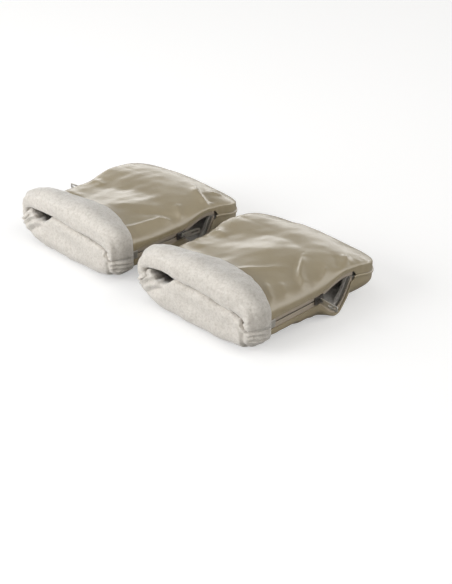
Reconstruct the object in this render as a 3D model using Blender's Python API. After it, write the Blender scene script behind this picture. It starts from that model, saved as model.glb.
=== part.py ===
"""A pair of padded hand muffs for a stroller's handlebar, in metres, +Z up.

Each muff is a clamshell: an upper and a lower half of shell, wadding and fleece lining, sewn together round
the front and closed by a zip on each side, with the bar's way through both sides just behind the front seam.
+Y points from the hand's mouth to the fingertips and +X to the parent's right. The origin is at the bottom
centre of the pair.
"""

import math

import bpy
import bmesh
import numpy as np
from mathutils import Matrix, Vector

# Overall sizes of one muff. U runs from the mouth line (0) to the front tip (BAG_LENGTH).
BAG_LENGTH = 0.211
BAG_WIDTH = 0.180
UPPER_CROWN = 0.031
LOWER_DEPTH = 0.032
CORNER_RADIUS = 0.038
MUFF_GAP = 0.0364
CLEARANCE = 0.0003

# The seam plane's height, which bends up a little where the bar passes and down again at the tip.
SEAM_RISE_AT_BAR = 0.008
SEAM_DROP_AT_TIP = 0.003

# The bar's way through both sides: a lens between the tapes.
BAR_GAP_START = 0.098
BAR_GAP_LENGTH = 0.052
BAR_GAP_ABOVE = 0.003
BAR_GAP_BELOW = 0.026
LENS_LEAN_SHARE = 1.3

# Layers, from the outside in.
SHELL_THICKNESS = 0.0010
WADDING_THICKNESS = 0.0070
LINING_THICKNESS = 0.0039
EDGE_RISE = 0.0060
EDGE_CLOSE_LENGTH = 0.0060
SHOULDER_RISE = 0.0095
SEAM_HALF_GAP = 0.00015
TIP_THICKNESS = 0.0010
FRONT_INSET_SHARE = 1.2

# The turned-back fleece cuff.
CUFF_REAR = 0.0060
CUFF_UPPER_LOFT = 0.0140
CUFF_LOWER_LOFT = 0.0080
CUFF_SIDE_LOFT = 0.0035
BAND_AT_CROWN = 0.044
BAND_AT_SIDE = 0.0222
MOUTH_SIDE = 0.0150
MOUTH_TAPER = 0.0065
MOUTH_TAPER_LENGTH = 0.0190
MOUTH_UPPER_RISE = 0.0185
MOUTH_LOWER_RISE = 0.0115
MOUTH_SHOULDER = 0.0030
MOUTH_DIP = 0.0140
CUFF_FOLD = 0.0012
MOUTH_DEPTH = 0.0120
MOUTH_DIP_PLACE_SHARE = -0.62
MOUTH_DIP_SPREAD_SHARE = 0.34

# Zips, which lie in the two side planes.
TAPE_THICKNESS = 0.0009
TAPE_HEIGHT = 0.0082
CHAIN_HALF_GAP = 0.0008
TAPE_START = 0.0190
TAPE_END = 0.1525
COIL_THICKNESS = 0.0014
COIL_HEIGHT = 0.0022
COIL_END = 0.1480
STOP_LENGTH = 0.0028
BOX_CENTRE = 0.0262
BOX_LENGTH = 0.0070
BOX_HALF_HEIGHT = 0.0045
PIN_START = 0.0200
PIN_END = 0.0330
PIN_HEIGHT = 0.0018

# Slider and puller.
SLIDER_CENTRE = 0.0970
SLIDER_LENGTH = 0.0130
SLIDER_HALF_HEIGHT = 0.0054
SLIDER_REAR_HALF_HEIGHT = 0.0040
SLIDER_OUTER_PLATE = 0.0016
SLIDER_INNER_PLATE = 0.0014
SLIDER_WEB_HALF_HEIGHT = 0.0005
SLIDER_WEB_LENGTH = 0.0032
BAIL_LENGTH = 0.0070
BAIL_HEIGHT = 0.0040
BAIL_BAR = 0.0013
BAIL_WIDTH = 0.0016
PULLER_LENGTH = 0.0260
PULLER_WIDTH = 0.0064
PULLER_THICKNESS = 0.0012
PULLER_EYE_LENGTH = 0.0040
PULLER_EYE_WIDTH = 0.0024
PULLER_WINDOW_LENGTH = 0.0120
PULLER_WINDOW_WIDTH = 0.0022
PULLER_CORNER = 0.0010
PULLER_OUTER_ANGLE = math.radians(-5)
PULLER_INNER_ANGLE = math.radians(85)

# Front binding.
BINDING_HEIGHT = 0.0030
BINDING_THICKNESS = 0.0012

# Shapes along the bag, as shares of its length against shares of the crown or depth.
UPPER_CROWN_SHARES = (
    (0.0, 0.2, 0.42, 0.58, 0.7, 0.8, 0.88, 0.94, 0.98, 1.0),
    (1.0, 0.97, 1.0, 0.99, 0.93, 0.81, 0.63, 0.44, 0.24, 0.0),
)
LOWER_DEPTH_SHARES = (
    (0.0, 0.275, 0.36, 0.75, 0.85, 0.92, 0.97, 1.0),
    (0.75, 0.75, 1.0, 1.0, 0.88, 0.66, 0.38, 0.0),
)
SHOULDER_SHARES = ((0.0, 0.73, 0.8, 1.0), (0.9, 0.9, 0.5, 0.5))
DOME_WIDTH_POWER_SHARE = 0.85
DOME_FULL_POWER_SHARE = 0.62
DOME_ROUND_POWER_SHARE = 0.82
DOME_CHANGE_START = 0.018
DOME_CHANGE_END = 0.075
DOME_LOWER_POWER_SHARE = 0.85
FLAT_BELLY_SHARE = 1.10
DOME_COLUMNS = 15
REAR_STATION_SHARES = (0.0, 0.03, 0.06, 0.09, 0.115, 0.145, 0.175, 0.21, 0.275, 0.32, 0.36, 0.405, 0.45)
LENS_STATION_SHARES = (0.0, 0.13, 0.31, 0.5, 0.69, 0.87, 1.0)
FRONT_STATION_SHARES = (0.14, 0.30, 0.5, 0.72, 0.88, 0.97, 1.0)
FLAP_STATION_SHARES = (0.0, 0.12, 0.3, 0.55, 0.8, 0.95, 1.0)
FLAP_LOFT_SHARES = (0.72, 0.92, 1.0, 0.85, 0.62, 0.42, 0.27)
UPPER_ROLL_RISE_SHARES = (0.1, 0.4, 0.74)
LOWER_ROLL_RISE_SHARES = (0.08, 0.4, 0.78)
ROLL_WIDTH_SHARES = (0.15, 0.5, 0.85)
ROLL_REAR_SHARES = (0.7, 1.0, 0.78)
ROLL_BACK_SHARES = (0.25, 0.5, 0.75)
LIP_SAG_SHARE = 0.5
WELD_SHARE = 0.1
SMOOTH_ANGLE = math.radians(40)

# How much lower than its full height each upper half lies over the wrist: at its middle and at its left.
RIGHT_SLUMP_SHARES = (0.0, 0.42)
LEFT_SLUMP_SHARES = (0.16, 0.60)
SLUMP_ACROSS_SHARES = (-0.35, 0.75)
SLUMP_START = 0.015
SLUMP_FULL = 0.060
SLUMP_FADE = 0.125
SLUMP_END = 0.190

# The upper shells' main folds: the path, in shares of half the width and of the length, then the height as a
# share of the crown and the fall to either side as a share of the length.
RIGHT_FOLD_SHARES = (
    (((0.51, 0.569), (0.67, 0.464), (0.80, 0.399), (0.93, 0.374)), 0.097, 0.040),
    (((0.53, 0.483), (0.67, 0.408), (0.82, 0.351)), -0.039, 0.038),
    (((0.84, 0.578), (0.95, 0.493)), 0.065, 0.033),
    (((0.80, 0.758), (0.96, 0.682)), 0.071, 0.033),
    (((-0.39, 0.607), (0.06, 0.654), (0.50, 0.607)), -0.071, 0.095),
    (((-0.33, 0.379), (0.31, 0.502)), 0.045, 0.071),
    (((-0.93, 0.479), (-0.67, 0.493)), 0.065, 0.036),
)
LEFT_FOLD_SHARES = (
    (((0.47, 0.787), (0.64, 0.732), (0.93, 0.685)), 0.097, 0.038),
    (((0.64, 0.791), (0.91, 0.735)), -0.045, 0.038),
    (((0.78, 0.265), (0.81, 0.370), (0.93, 0.417)), 0.077, 0.036),
    (((0.56, 0.332), (0.84, 0.464)), -0.058, 0.038),
    (((0.67, 0.559), (0.93, 0.488)), 0.071, 0.033),
    (((-0.39, 0.483), (0.00, 0.531), (0.39, 0.512)), -0.065, 0.095),
    (((-0.93, 0.469), (-0.64, 0.469)), 0.065, 0.036),
)
FOLD_FREE_START = 0.050
FOLD_FULL_START = 0.062
FOLD_FULL_END = 0.176
FOLD_FREE_END = 0.195
FOLD_SHOULDER_SHARE = 0.45

SEAM_HEIGHT = LOWER_DEPTH
MUFF_SPACING = BAG_WIDTH + MUFF_GAP
MOUTH_WIDTH = BAG_WIDTH - 2 * MOUTH_SIDE
OBJECT_LENGTH = BAG_LENGTH + CUFF_REAR + CLEARANCE + BINDING_THICKNESS
MOUTH_Y = CUFF_REAR - OBJECT_LENGTH / 2
HALF_WIDTH = BAG_WIDTH / 2
LENS_END = BAR_GAP_START + BAR_GAP_LENGTH
TAPE_OUTER = HALF_WIDTH - SHELL_THICKNESS - CLEARANCE
TAPE_INNER = TAPE_OUTER - TAPE_THICKNESS
COIL_OUTER = TAPE_INNER - CLEARANCE
COIL_INNER = COIL_OUTER - COIL_THICKNESS
PLATE_INNER = COIL_INNER - CLEARANCE
LINING_SIDE_INSET = HALF_WIDTH - PLATE_INNER + SLIDER_INNER_PLATE + 2 * CLEARANCE
LINING_CROWN_INSET = SHELL_THICKNESS + WADDING_THICKNESS + CLEARANCE
UP = 1
DOWN = -1

WORLD = {}

COLOURS = {
    "shell": ((0.36, 0.33, 0.27), 0.42, 0.0),
    "wadding": ((0.8, 0.79, 0.76), 0.95, 0.0),
    "lining": ((0.74, 0.72, 0.68), 0.95, 0.0),
    "tape": ((0.27, 0.22, 0.17), 0.7, 0.0),
    "coil": ((0.24, 0.2, 0.15), 0.45, 0.0),
    "metal": ((0.35, 0.34, 0.32), 0.28, 1.0),
    "binding": ((0.42, 0.38, 0.31), 0.5, 0.0),
}


def smooth(low, high, value):
    share = min(1.0, max(0.0, (value - low) / (high - low)))
    return share * share * (3 - 2 * share)


def seam_height(u):
    """The height of the parting line between the halves."""
    rise = SEAM_RISE_AT_BAR * smooth(BAR_GAP_START, LENS_END, u)
    fall = (SEAM_RISE_AT_BAR + SEAM_DROP_AT_TIP) * smooth(LENS_END, BAG_LENGTH, u)
    return SEAM_HEIGHT + rise - fall


def bar_gap(u, side):
    """How far one tape leaves the parting line to let the bar through."""
    share = (u - BAR_GAP_START) / BAR_GAP_LENGTH
    if share <= 0 or share >= 1:
        return 0.0
    deepest = BAR_GAP_ABOVE if side == UP else BAR_GAP_BELOW
    return deepest * math.sin(math.pi * share**LENS_LEAN_SHARE)


def plan_half_width(u):
    """Half the bag's width, drawn in at the mouth and rounded off at the front corners."""
    past = u - (BAG_LENGTH - CORNER_RADIUS)
    if past <= 0:
        return HALF_WIDTH - MOUTH_TAPER * max(0.0, 1 - u / MOUTH_TAPER_LENGTH) ** 2
    past = min(past, CORNER_RADIUS)
    return HALF_WIDTH - CORNER_RADIUS + math.sqrt(CORNER_RADIUS**2 - past**2)


def full_height(u, side):
    """From the parting line to the shell's crown or belly."""
    share = u / BAG_LENGTH
    level = seam_height(u) - SEAM_HEIGHT
    if side == UP:
        top = UPPER_CROWN * float(np.interp(share, *UPPER_CROWN_SHARES))
        return max(top - level, TIP_THICKNESS)
    return max(LOWER_DEPTH * float(np.interp(share, *LOWER_DEPTH_SHARES)) + level, TIP_THICKNESS)


def columns():
    """(across, rise) for each column: where it is across the width, and a cosine for how far up the dome. The
    first and last are the sheet's own edges, straight below the shoulders."""
    found = [(-1.0, None)]
    for angle in np.linspace(-math.pi / 2, math.pi / 2, DOME_COLUMNS):
        across = math.copysign(abs(math.sin(angle)) ** DOME_WIDTH_POWER_SHARE, angle)
        found.append((across, max(0.0, math.cos(angle)) if abs(across) < 1 else 0.0))
    found.append((1.0, None))
    return found


COLUMNS = columns()


def dome_share(cosine, u, side):
    """How far up from shoulder to crown a column lies: full over the hand's wrist, rounder further along."""
    if side == DOWN:
        return min(1.0, cosine**DOME_LOWER_POWER_SHARE * FLAT_BELLY_SHARE)
    turned = smooth(DOME_CHANGE_START, DOME_CHANGE_END, u)
    return cosine ** (DOME_FULL_POWER_SHARE + (DOME_ROUND_POWER_SHARE - DOME_FULL_POWER_SHARE) * turned)


def slump_share(across, u, side, slump):
    """How much of its height the upper half keeps over the wrist; slump is its loss at middle and left."""
    if side == DOWN:
        return 1.0
    along = smooth(SLUMP_START, SLUMP_FULL, u) * (1 - smooth(SLUMP_FADE, SLUMP_END, u))
    middle, left = slump
    return 1 - along * (middle + (left - middle) * smooth(*SLUMP_ACROSS_SHARES, -across))


def segment_distance(point, start, end):
    along = end - start
    share = max(0.0, min(1.0, (point - start).dot(along) / along.dot(along)))
    return (point - start - along * share).length


def fold_rise(across, cosine, u, folds):
    """How far the folds lift the shell here: nothing under the cuff, along the hems and at the tip."""
    here = Vector((HALF_WIDTH * across, u))
    total = 0.0
    for path_shares, height_share, fall_share in folds:
        path = [Vector((HALF_WIDTH * x_share, BAG_LENGTH * u_share)) for x_share, u_share in path_shares]
        near = min(segment_distance(here, start, end) for start, end in zip(path, path[1:]))
        total += height_share * UPPER_CROWN * math.exp(-((near / (fall_share * BAG_LENGTH)) ** 2))
    free = smooth(FOLD_FREE_START, FOLD_FULL_START, u) * (1 - smooth(FOLD_FULL_END, FOLD_FREE_END, u))
    return total * free * smooth(0.0, FOLD_SHOULDER_SHARE, cosine)


def bag_point(column, u, side, side_inset, crown_inset, edge_rise, slump, folds=()):
    """A point of the layer that lies these insets inside the shell's outer face."""
    across, cosine = column
    gap = bar_gap(u, side)
    height = full_height(u, side)
    room = max(height - gap, 0.0)
    limit = float(np.interp(u / BAG_LENGTH, *SHOULDER_SHARES)) * room
    shoulder = gap + min(SHOULDER_RISE, limit)
    scale = height / (UPPER_CROWN if side == UP else LOWER_DEPTH)
    crown = max(height - crown_inset * min(1.0, scale), gap + TIP_THICKNESS / 2)
    shoulder = min(shoulder, crown)
    # Past the tape's end the two halves' edges meet.
    front = 1 - smooth(TAPE_END, TAPE_END + EDGE_CLOSE_LENGTH, u)
    edge = min(gap + SEAM_HALF_GAP + (edge_rise - SEAM_HALF_GAP) * front, shoulder)
    rise = edge
    if cosine is not None:
        kept = slump_share(across, u, side, slump)
        rise = shoulder + (crown - shoulder) * dome_share(cosine, u, side) * kept
        rise += fold_rise(across, cosine, u, folds) * kept
    half = plan_half_width(u) - side_inset
    along = u - FRONT_INSET_SHARE * side_inset * smooth(LENS_END, BAG_LENGTH, u)
    return Vector((half * across, MOUTH_Y + along, seam_height(u) + side * rise))


def stations():
    rear = [BAG_LENGTH * share for share in REAR_STATION_SHARES]
    lens = [BAR_GAP_START + BAR_GAP_LENGTH * share for share in LENS_STATION_SHARES]
    front = [LENS_END + (BAG_LENGTH - LENS_END) * share for share in FRONT_STATION_SHARES]
    return rear + lens + front


def sheet_mesh(name, outer, inner):
    """A closed solid between two grids of points that have the same rows and columns."""
    mesh = bpy.data.meshes.new(name)
    bm = bmesh.new()
    grids = [[[bm.verts.new(p) for p in row] for row in grid] for grid in (outer, inner)]
    rows = len(outer)
    cols = len(outer[0])
    # Every layer's cells are split along the same diagonal, so that nested layers keep their spacing.
    for grid in grids:
        for i in range(rows - 1):
            for j in range(cols - 1):
                a, b, c, d = grid[i][j], grid[i][j + 1], grid[i + 1][j + 1], grid[i + 1][j]
                if d.co.y < a.co.y:
                    a, b, c, d = d, c, b, a
                bm.faces.new((a, b, c))
                bm.faces.new((a, c, d))
    first, second = grids
    for j in range(cols - 1):
        for i in (0, rows - 1):
            bm.faces.new((first[i][j], first[i][j + 1], second[i][j + 1], second[i][j]))
    for i in range(rows - 1):
        for j in (0, cols - 1):
            bm.faces.new((first[i][j], first[i + 1][j], second[i + 1][j], second[i][j]))
    bmesh.ops.recalc_face_normals(bm, faces=bm.faces)
    bm.to_mesh(mesh)
    bm.free()
    return mesh


def bag_layer(name, side, outer, inner, slump):
    """A layer between two faces, each given as its insets and its folds."""
    rows = stations()
    grids = [
        [[bag_point(column, u, side, *insets, EDGE_RISE, slump, folds) for column in COLUMNS] for u in rows]
        for insets, folds in (outer, inner)
    ]
    return sheet_mesh(name, *grids)


def mouth_dip(across):
    """The slack at the mouth's left end, where the lower roll sags open."""
    off = (across - MOUTH_DIP_PLACE_SHARE) / MOUTH_DIP_SPREAD_SHARE
    return MOUTH_DIP * max(0.0, 1 - off * off)


def cuff_row(u, half, crown, shoulder, edge, side, dip):
    """One row of the cuff's roll, with heights above the seam plane at the zips."""
    row = []
    for across, cosine in COLUMNS:
        rise = edge if cosine is None else shoulder + (crown - shoulder) * dome_share(cosine, u, side)
        rise -= dip * mouth_dip(across) if cosine else 0.0
        row.append(Vector((half * across, MOUTH_Y + u, SEAM_HEIGHT + rise)))
    return row


def flap_row(share, loft_share, side, slump):
    """A row of the turned-back flap, this far above the shell's outer face."""
    row = []
    crown_loft = loft_share * (CUFF_UPPER_LOFT if side == UP else CUFF_LOWER_LOFT) + 2 * CLEARANCE
    side_loft = loft_share * CUFF_SIDE_LOFT + 2 * CLEARANCE
    for column in COLUMNS:
        across = column[0]
        band = BAND_AT_SIDE + (BAND_AT_CROWN - BAND_AT_SIDE) * (1 - across * across)
        u = share * band
        point = bag_point(column, u, side, -side_loft, -crown_loft, SEAM_HALF_GAP, slump)
        point.y = MOUTH_Y + u
        point.z = max(point.z, 0.0)
        row.append(point)
    return row


def lining_mesh(name, side, slump):
    """The lining: an inner sheet, the roll at the mouth and the flap turned back over the shell."""
    inner_side = LINING_SIDE_INSET + LINING_THICKNESS
    inner_crown = LINING_CROWN_INSET + LINING_THICKNESS
    deep = [u for u in reversed(stations()) if u > BAND_AT_SIDE]
    inner = inner_side, inner_crown, SEAM_HALF_GAP, slump
    outer = LINING_SIDE_INSET, LINING_CROWN_INSET + CLEARANCE, SEAM_HALF_GAP, slump
    hand = [[bag_point(column, u, side, *inner) for column in COLUMNS] for u in deep]
    back = [[bag_point(column, u, side, *outer) for column in COLUMNS] for u in deep]
    mouth_half = MOUTH_WIDTH / 2
    edge = side * SEAM_HALF_GAP
    crown = UPPER_CROWN * UPPER_CROWN_SHARES[1][0] + CUFF_UPPER_LOFT
    roll_half = HALF_WIDTH - MOUTH_TAPER + CUFF_SIDE_LOFT
    if side == UP:
        lip, lip_in, rise_shares = MOUTH_UPPER_RISE, MOUTH_UPPER_RISE, UPPER_ROLL_RISE_SHARES
        shoulder, full, dip_scale = MOUTH_SHOULDER, crown, 0.0
    else:
        lip, rise_shares = MOUTH_LOWER_RISE, LOWER_ROLL_RISE_SHARES
        lip_in = lip - (MOUTH_UPPER_RISE - MOUTH_LOWER_RISE) * LIP_SAG_SHARE
        shoulder, full, dip_scale = -2 * SEAM_HALF_GAP, -LOWER_DEPTH, 1.0
    full_shoulder = side * SHOULDER_RISE
    rolls = (
        (MOUTH_DEPTH, mouth_half, lip_in, shoulder, dip_scale),
        (0.0, mouth_half, lip, shoulder, dip_scale),
    )
    for u, half, height, low, dip in rolls:
        hand.append(cuff_row(u, half, height, low, edge, side, dip))
    for share, out_share, rear_share in zip(rise_shares, ROLL_WIDTH_SHARES, ROLL_REAR_SHARES):
        height = lip + (full - lip) * share
        low = shoulder + (full_shoulder - shoulder) * share
        half = mouth_half + (roll_half - mouth_half) * out_share
        sag = dip_scale * (1 - out_share)
        hand.append(cuff_row(-CUFF_REAR * rear_share, half, height, low, edge, side, sag))
    for share, loft_share in zip(FLAP_STATION_SHARES, FLAP_LOFT_SHARES):
        hand.append(flap_row(share, loft_share, side, slump))
    for u in (MOUTH_DEPTH, -CUFF_FOLD / 2):
        row = [bag_point(column, max(u, 0.0), side, *outer) for column in COLUMNS]
        for point in row:
            point.y = MOUTH_Y + u
        back.append(row)
    for share in ROLL_BACK_SHARES:
        side_inset = LINING_SIDE_INSET * (1 - share) - CLEARANCE * share
        crown_inset = LINING_CROWN_INSET * (1 - share) - CLEARANCE * share
        insets = side_inset, crown_inset, SEAM_HALF_GAP, slump
        row = [bag_point(column, 0.0, side, *insets) for column in COLUMNS]
        for point in row:
            point.y = MOUTH_Y - CUFF_FOLD
        back.append(row)
    for share in FLAP_STATION_SHARES:
        row = flap_row(share, 0.0, side, slump)
        if share == 0:
            for point in row:
                point.y = MOUTH_Y - CUFF_FOLD / 2
        back.append(row)
    return sheet_mesh(name, hand, back)


def strip_mesh(name, x_low, x_high, lower, upper, mirrored):
    """A strip in a side plane: lower and upper are its edges as (u, z) points."""
    sign = -1 if mirrored else 1
    outer = [[Vector((sign * x_high, MOUTH_Y + u, z)) for u, z in edge] for edge in (lower, upper)]
    inner = [[Vector((sign * x_low, MOUTH_Y + u, z)) for u, z in edge] for edge in (lower, upper)]
    return sheet_mesh(name, outer, inner)


def chain_edge(u, side, offset):
    return seam_height(u) + side * (bar_gap(u, side) + CHAIN_HALF_GAP + offset)


def chain_strip(name, side, x_low, x_high, start, end, height, mirrored):
    us = [start] + [u for u in stations() if start + CLEARANCE < u < end - CLEARANCE] + [end]
    near = [(u, chain_edge(u, side, 0.0)) for u in us]
    far = [(u, chain_edge(u, side, height)) for u in us]
    return strip_mesh(name, x_low, x_high, near, far, mirrored)


def plate_outline(rear_half, front_half, length):
    """A slider plate seen from the side: narrow where the chain is closed, wide where it parts."""
    return (
        (-length / 2, -rear_half),
        (0.0, -rear_half),
        (length / 2, -front_half),
        (length / 2, front_half),
        (0.0, rear_half),
        (-length / 2, rear_half),
    )


def extruded(bm, outline, x_low, x_high):
    """Adds a closed prism to bm: an outline in the Y and Z directions, drawn out along X."""
    near = [bm.verts.new((x_low, y, z)) for y, z in outline]
    far = [bm.verts.new((x_high, y, z)) for y, z in outline]
    bm.faces.new(near)
    bm.faces.new(list(reversed(far)))
    for i, vert in enumerate(near):
        j = (i + 1) % len(near)
        bm.faces.new((vert, far[i], far[j], near[j]))


def box_outline(y_low, y_high, z_low, z_high):
    return ((y_low, z_low), (y_high, z_low), (y_high, z_high), (y_low, z_high))


def prism_mesh(name, prisms, mirrored):
    """A mesh of one or more prisms, each (outline, x_low, x_high)."""
    mesh = bpy.data.meshes.new(name)
    bm = bmesh.new()
    for outline, x_low, x_high in prisms:
        extruded(bm, outline, x_low, x_high)
    if mirrored:
        bmesh.ops.scale(bm, vec=(-1, 1, 1), verts=bm.verts)
    bmesh.ops.recalc_face_normals(bm, faces=bm.faces)
    bm.to_mesh(mesh)
    bm.free()
    return mesh


def material(name, kind):
    """A material of its own for each piece."""
    colour, roughness, metallic = COLOURS[kind]
    made = bpy.data.materials.new(name)
    made.use_nodes = True
    shader = made.node_tree.nodes["Principled BSDF"]
    shader.inputs["Base Color"].default_value = (*colour, 1.0)
    shader.inputs["Roughness"].default_value = roughness
    shader.inputs["Metallic"].default_value = metallic
    return made


def add_pivot(name, place, parent, collection):
    """An empty on a joint's axis. place is in the frame of the pair."""
    pivot = bpy.data.objects.new(name, None)
    pivot.empty_display_size = SLIDER_LENGTH
    pivot.parent = parent
    pivot.location = place - WORLD[parent.name] if parent else place
    WORLD[name] = place.copy()
    collection.objects.link(pivot)
    return pivot


def add_object(name, mesh, kind, pivot, collection, offset):
    """Hangs a mesh on its pivot; the mesh is drawn in its muff's frame, which lies offset from the pair's."""
    obj = bpy.data.objects.new(name, mesh)
    mesh.materials.append(material(name, kind))
    mesh.transform(Matrix.Translation(offset - WORLD[pivot.name]))
    obj.parent = pivot
    mesh.shade_smooth()
    mesh.set_sharp_from_angle(angle=SMOOTH_ANGLE)
    collection.objects.link(obj)
    return obj


def union(obj, tools, cutters):
    """Joins closed shapes into one body."""
    for tool in tools:
        cutters.objects.link(tool)
        tool.parent = obj.parent
        tool.hide_render = True
        tool.display_type = "WIRE"
        modifier = obj.modifiers.new("join " + tool.name, "BOOLEAN")
        modifier.operation = "UNION"
        modifier.solver = "EXACT"
        modifier.object = tool


def rounded_rectangle(centre, length, width, corner):
    """The points of a rectangle with its corners cut round, along X and across Y."""
    points = []
    for quarter in range(4):
        sign_x, sign_y = ((1, 1), (-1, 1), (-1, -1), (1, -1))[quarter]
        hub = Vector((centre + sign_x * (length / 2 - corner), sign_y * (width / 2 - corner)))
        for step in range(3):
            angle = math.pi / 2 * (quarter + step / 2)
            points.append(hub + corner * Vector((math.cos(angle), math.sin(angle))))
    return points


def puller_mesh(name):
    """A flat pull tab along +X with an eye round the bail and a long window, standing on its edge."""
    eye_centre = PULLER_EYE_LENGTH / 2 + BAIL_BAR / 2
    window_centre = PULLER_LENGTH - BAIL_BAR - PULLER_WINDOW_LENGTH / 2
    root = BAIL_BAR / 2
    outlines = (
        rounded_rectangle((PULLER_LENGTH - root) / 2, PULLER_LENGTH + root, PULLER_WIDTH, PULLER_CORNER),
        rounded_rectangle(eye_centre, PULLER_EYE_LENGTH, PULLER_EYE_WIDTH, PULLER_CORNER / 2),
        rounded_rectangle(window_centre, PULLER_WINDOW_LENGTH, PULLER_WINDOW_WIDTH, PULLER_CORNER),
    )
    curve = bpy.data.curves.new(name, "CURVE")
    curve.dimensions = "2D"
    curve.fill_mode = "BOTH"
    curve.extrude = PULLER_THICKNESS / 2
    for outline in outlines:
        spline = curve.splines.new("POLY")
        spline.points.add(len(outline) - 1)
        spline.use_cyclic_u = True
        for point, (x, y) in zip(spline.points, outline):
            point.co = (x, y, 0, 1)
    drawn = bpy.data.objects.new(name, curve)
    bpy.context.scene.collection.objects.link(drawn)
    graph = bpy.context.evaluated_depsgraph_get()
    mesh = bpy.data.meshes.new_from_object(drawn.evaluated_get(graph))
    bpy.data.objects.remove(drawn)
    bm = bmesh.new()
    bm.from_mesh(mesh)
    bmesh.ops.remove_doubles(bm, verts=bm.verts, dist=CLEARANCE * WELD_SHARE)
    bmesh.ops.rotate(bm, matrix=Matrix.Rotation(math.pi / 2, 3, "X"), verts=bm.verts)
    bmesh.ops.recalc_face_normals(bm, faces=bm.faces)
    bm.to_mesh(mesh)
    bm.free()
    return mesh


def bail_outline():
    """A staple over the slider's plate, in X (outwards) and Y, drawn as a closed outline."""
    half = BAIL_LENGTH / 2
    foot = TAPE_OUTER + CLEARANCE + SLIDER_OUTER_PLATE / 2
    top = TAPE_OUTER + CLEARANCE + SLIDER_OUTER_PLATE + BAIL_HEIGHT
    bend = BAIL_BAR
    return (
        (foot, -half),
        (top - bend, -half),
        (top, bend - half),
        (top, half - bend),
        (top - bend, half),
        (foot, half),
        (foot, half - BAIL_BAR),
        (top - BAIL_BAR, half - BAIL_BAR),
        (top - BAIL_BAR, BAIL_BAR - half),
        (foot, BAIL_BAR - half),
    )


def bail_mesh(name, mirrored):
    mesh = bpy.data.meshes.new(name)
    bm = bmesh.new()
    middle = Vector((0, MOUTH_Y + SLIDER_CENTRE, SEAM_HEIGHT))
    low = [bm.verts.new(middle + Vector((x, y, -BAIL_WIDTH / 2))) for x, y in bail_outline()]
    high = [bm.verts.new(middle + Vector((x, y, BAIL_WIDTH / 2))) for x, y in bail_outline()]
    bm.faces.new(low)
    bm.faces.new(list(reversed(high)))
    for i, vert in enumerate(low):
        j = (i + 1) % len(low)
        bm.faces.new((vert, high[i], high[j], low[j]))
    if mirrored:
        bmesh.ops.scale(bm, vec=(-1, 1, 1), verts=bm.verts)
    bmesh.ops.recalc_face_normals(bm, faces=bm.faces)
    bm.to_mesh(mesh)
    bm.free()
    return mesh


def placed(outline, u):
    return [(y + MOUTH_Y + u, z + SEAM_HEIGHT) for y, z in outline]


def slider_parts():
    """The outer plate with its bail, the inner plate, and the web between the tapes that joins them."""
    outline = placed(plate_outline(SLIDER_REAR_HALF_HEIGHT, SLIDER_HALF_HEIGHT, SLIDER_LENGTH), SLIDER_CENTRE)
    web_start = SLIDER_LENGTH / 2 - SLIDER_WEB_LENGTH
    web_end = SLIDER_LENGTH / 2 - CLEARANCE
    web_outline = box_outline(web_start, web_end, -SLIDER_WEB_HALF_HEIGHT, SLIDER_WEB_HALF_HEIGHT)
    web = placed(web_outline, SLIDER_CENTRE)
    outer_low = TAPE_OUTER + CLEARANCE
    outer = (outline, outer_low, outer_low + SLIDER_OUTER_PLATE)
    inner = (outline, PLATE_INNER - SLIDER_INNER_PLATE, PLATE_INNER)
    bridge = (web, PLATE_INNER - SLIDER_INNER_PLATE / 2, outer_low + SLIDER_OUTER_PLATE / 2)
    return outer, inner, bridge


def box_mesh(name, mirrored):
    """The retainer box: an H in section, holding the lower tape below and the pin above."""
    half = BOX_HALF_HEIGHT
    web = SLIDER_WEB_HALF_HEIGHT
    low, high = PLATE_INNER - SLIDER_INNER_PLATE, HALF_WIDTH
    section = (
        (low, -half), (PLATE_INNER, -half), (PLATE_INNER, -web), (TAPE_OUTER + CLEARANCE, -web),
        (TAPE_OUTER + CLEARANCE, -half), (high, -half), (high, half), (TAPE_OUTER + CLEARANCE, half),
        (TAPE_OUTER + CLEARANCE, web), (PLATE_INNER, web), (PLATE_INNER, half), (low, half),
    )
    sign = -1 if mirrored else 1
    mesh = bpy.data.meshes.new(name)
    bm = bmesh.new()
    ends = []
    for u in (BOX_CENTRE - BOX_LENGTH / 2, BOX_CENTRE + BOX_LENGTH / 2):
        ends.append([bm.verts.new((sign * x, MOUTH_Y + u, SEAM_HEIGHT + z)) for x, z in section])
    near, far = ends
    bm.faces.new(near)
    bm.faces.new(list(reversed(far)))
    for i, vert in enumerate(near):
        j = (i + 1) % len(near)
        bm.faces.new((vert, far[i], far[j], near[j]))
    bmesh.ops.recalc_face_normals(bm, faces=bm.faces)
    bm.to_mesh(mesh)
    bm.free()
    return mesh


def binding_mesh(name):
    """The lip that follows the front seam, from one side's tapes round the tip to the other's."""
    us = [TAPE_END + COIL_THICKNESS] + [u for u in stations() if u > TAPE_END + COIL_HEIGHT]
    path = [(plan_half_width(u), u) for u in us]
    path += [(-x, u) for x, u in reversed(path)]
    outer, inner = [], []
    for i, (x, u) in enumerate(path):
        before, after = path[max(i - 1, 0)], path[min(i + 1, len(path) - 1)]
        along = Vector((after[0] - before[0], after[1] - before[1])).normalized()
        out = Vector((math.copysign(along.y, x), abs(along.x)))
        top = seam_height(u) - 2 * SEAM_HALF_GAP
        for grid, reach in ((inner, CLEARANCE), (outer, CLEARANCE + BINDING_THICKNESS)):
            place = Vector((x, u)) + out * reach
            ends = (top, top - BINDING_HEIGHT)
            grid.append([Vector((place.x, MOUTH_Y + place.y, z)) for z in ends])
    return sheet_mesh(name, outer, inner)


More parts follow.
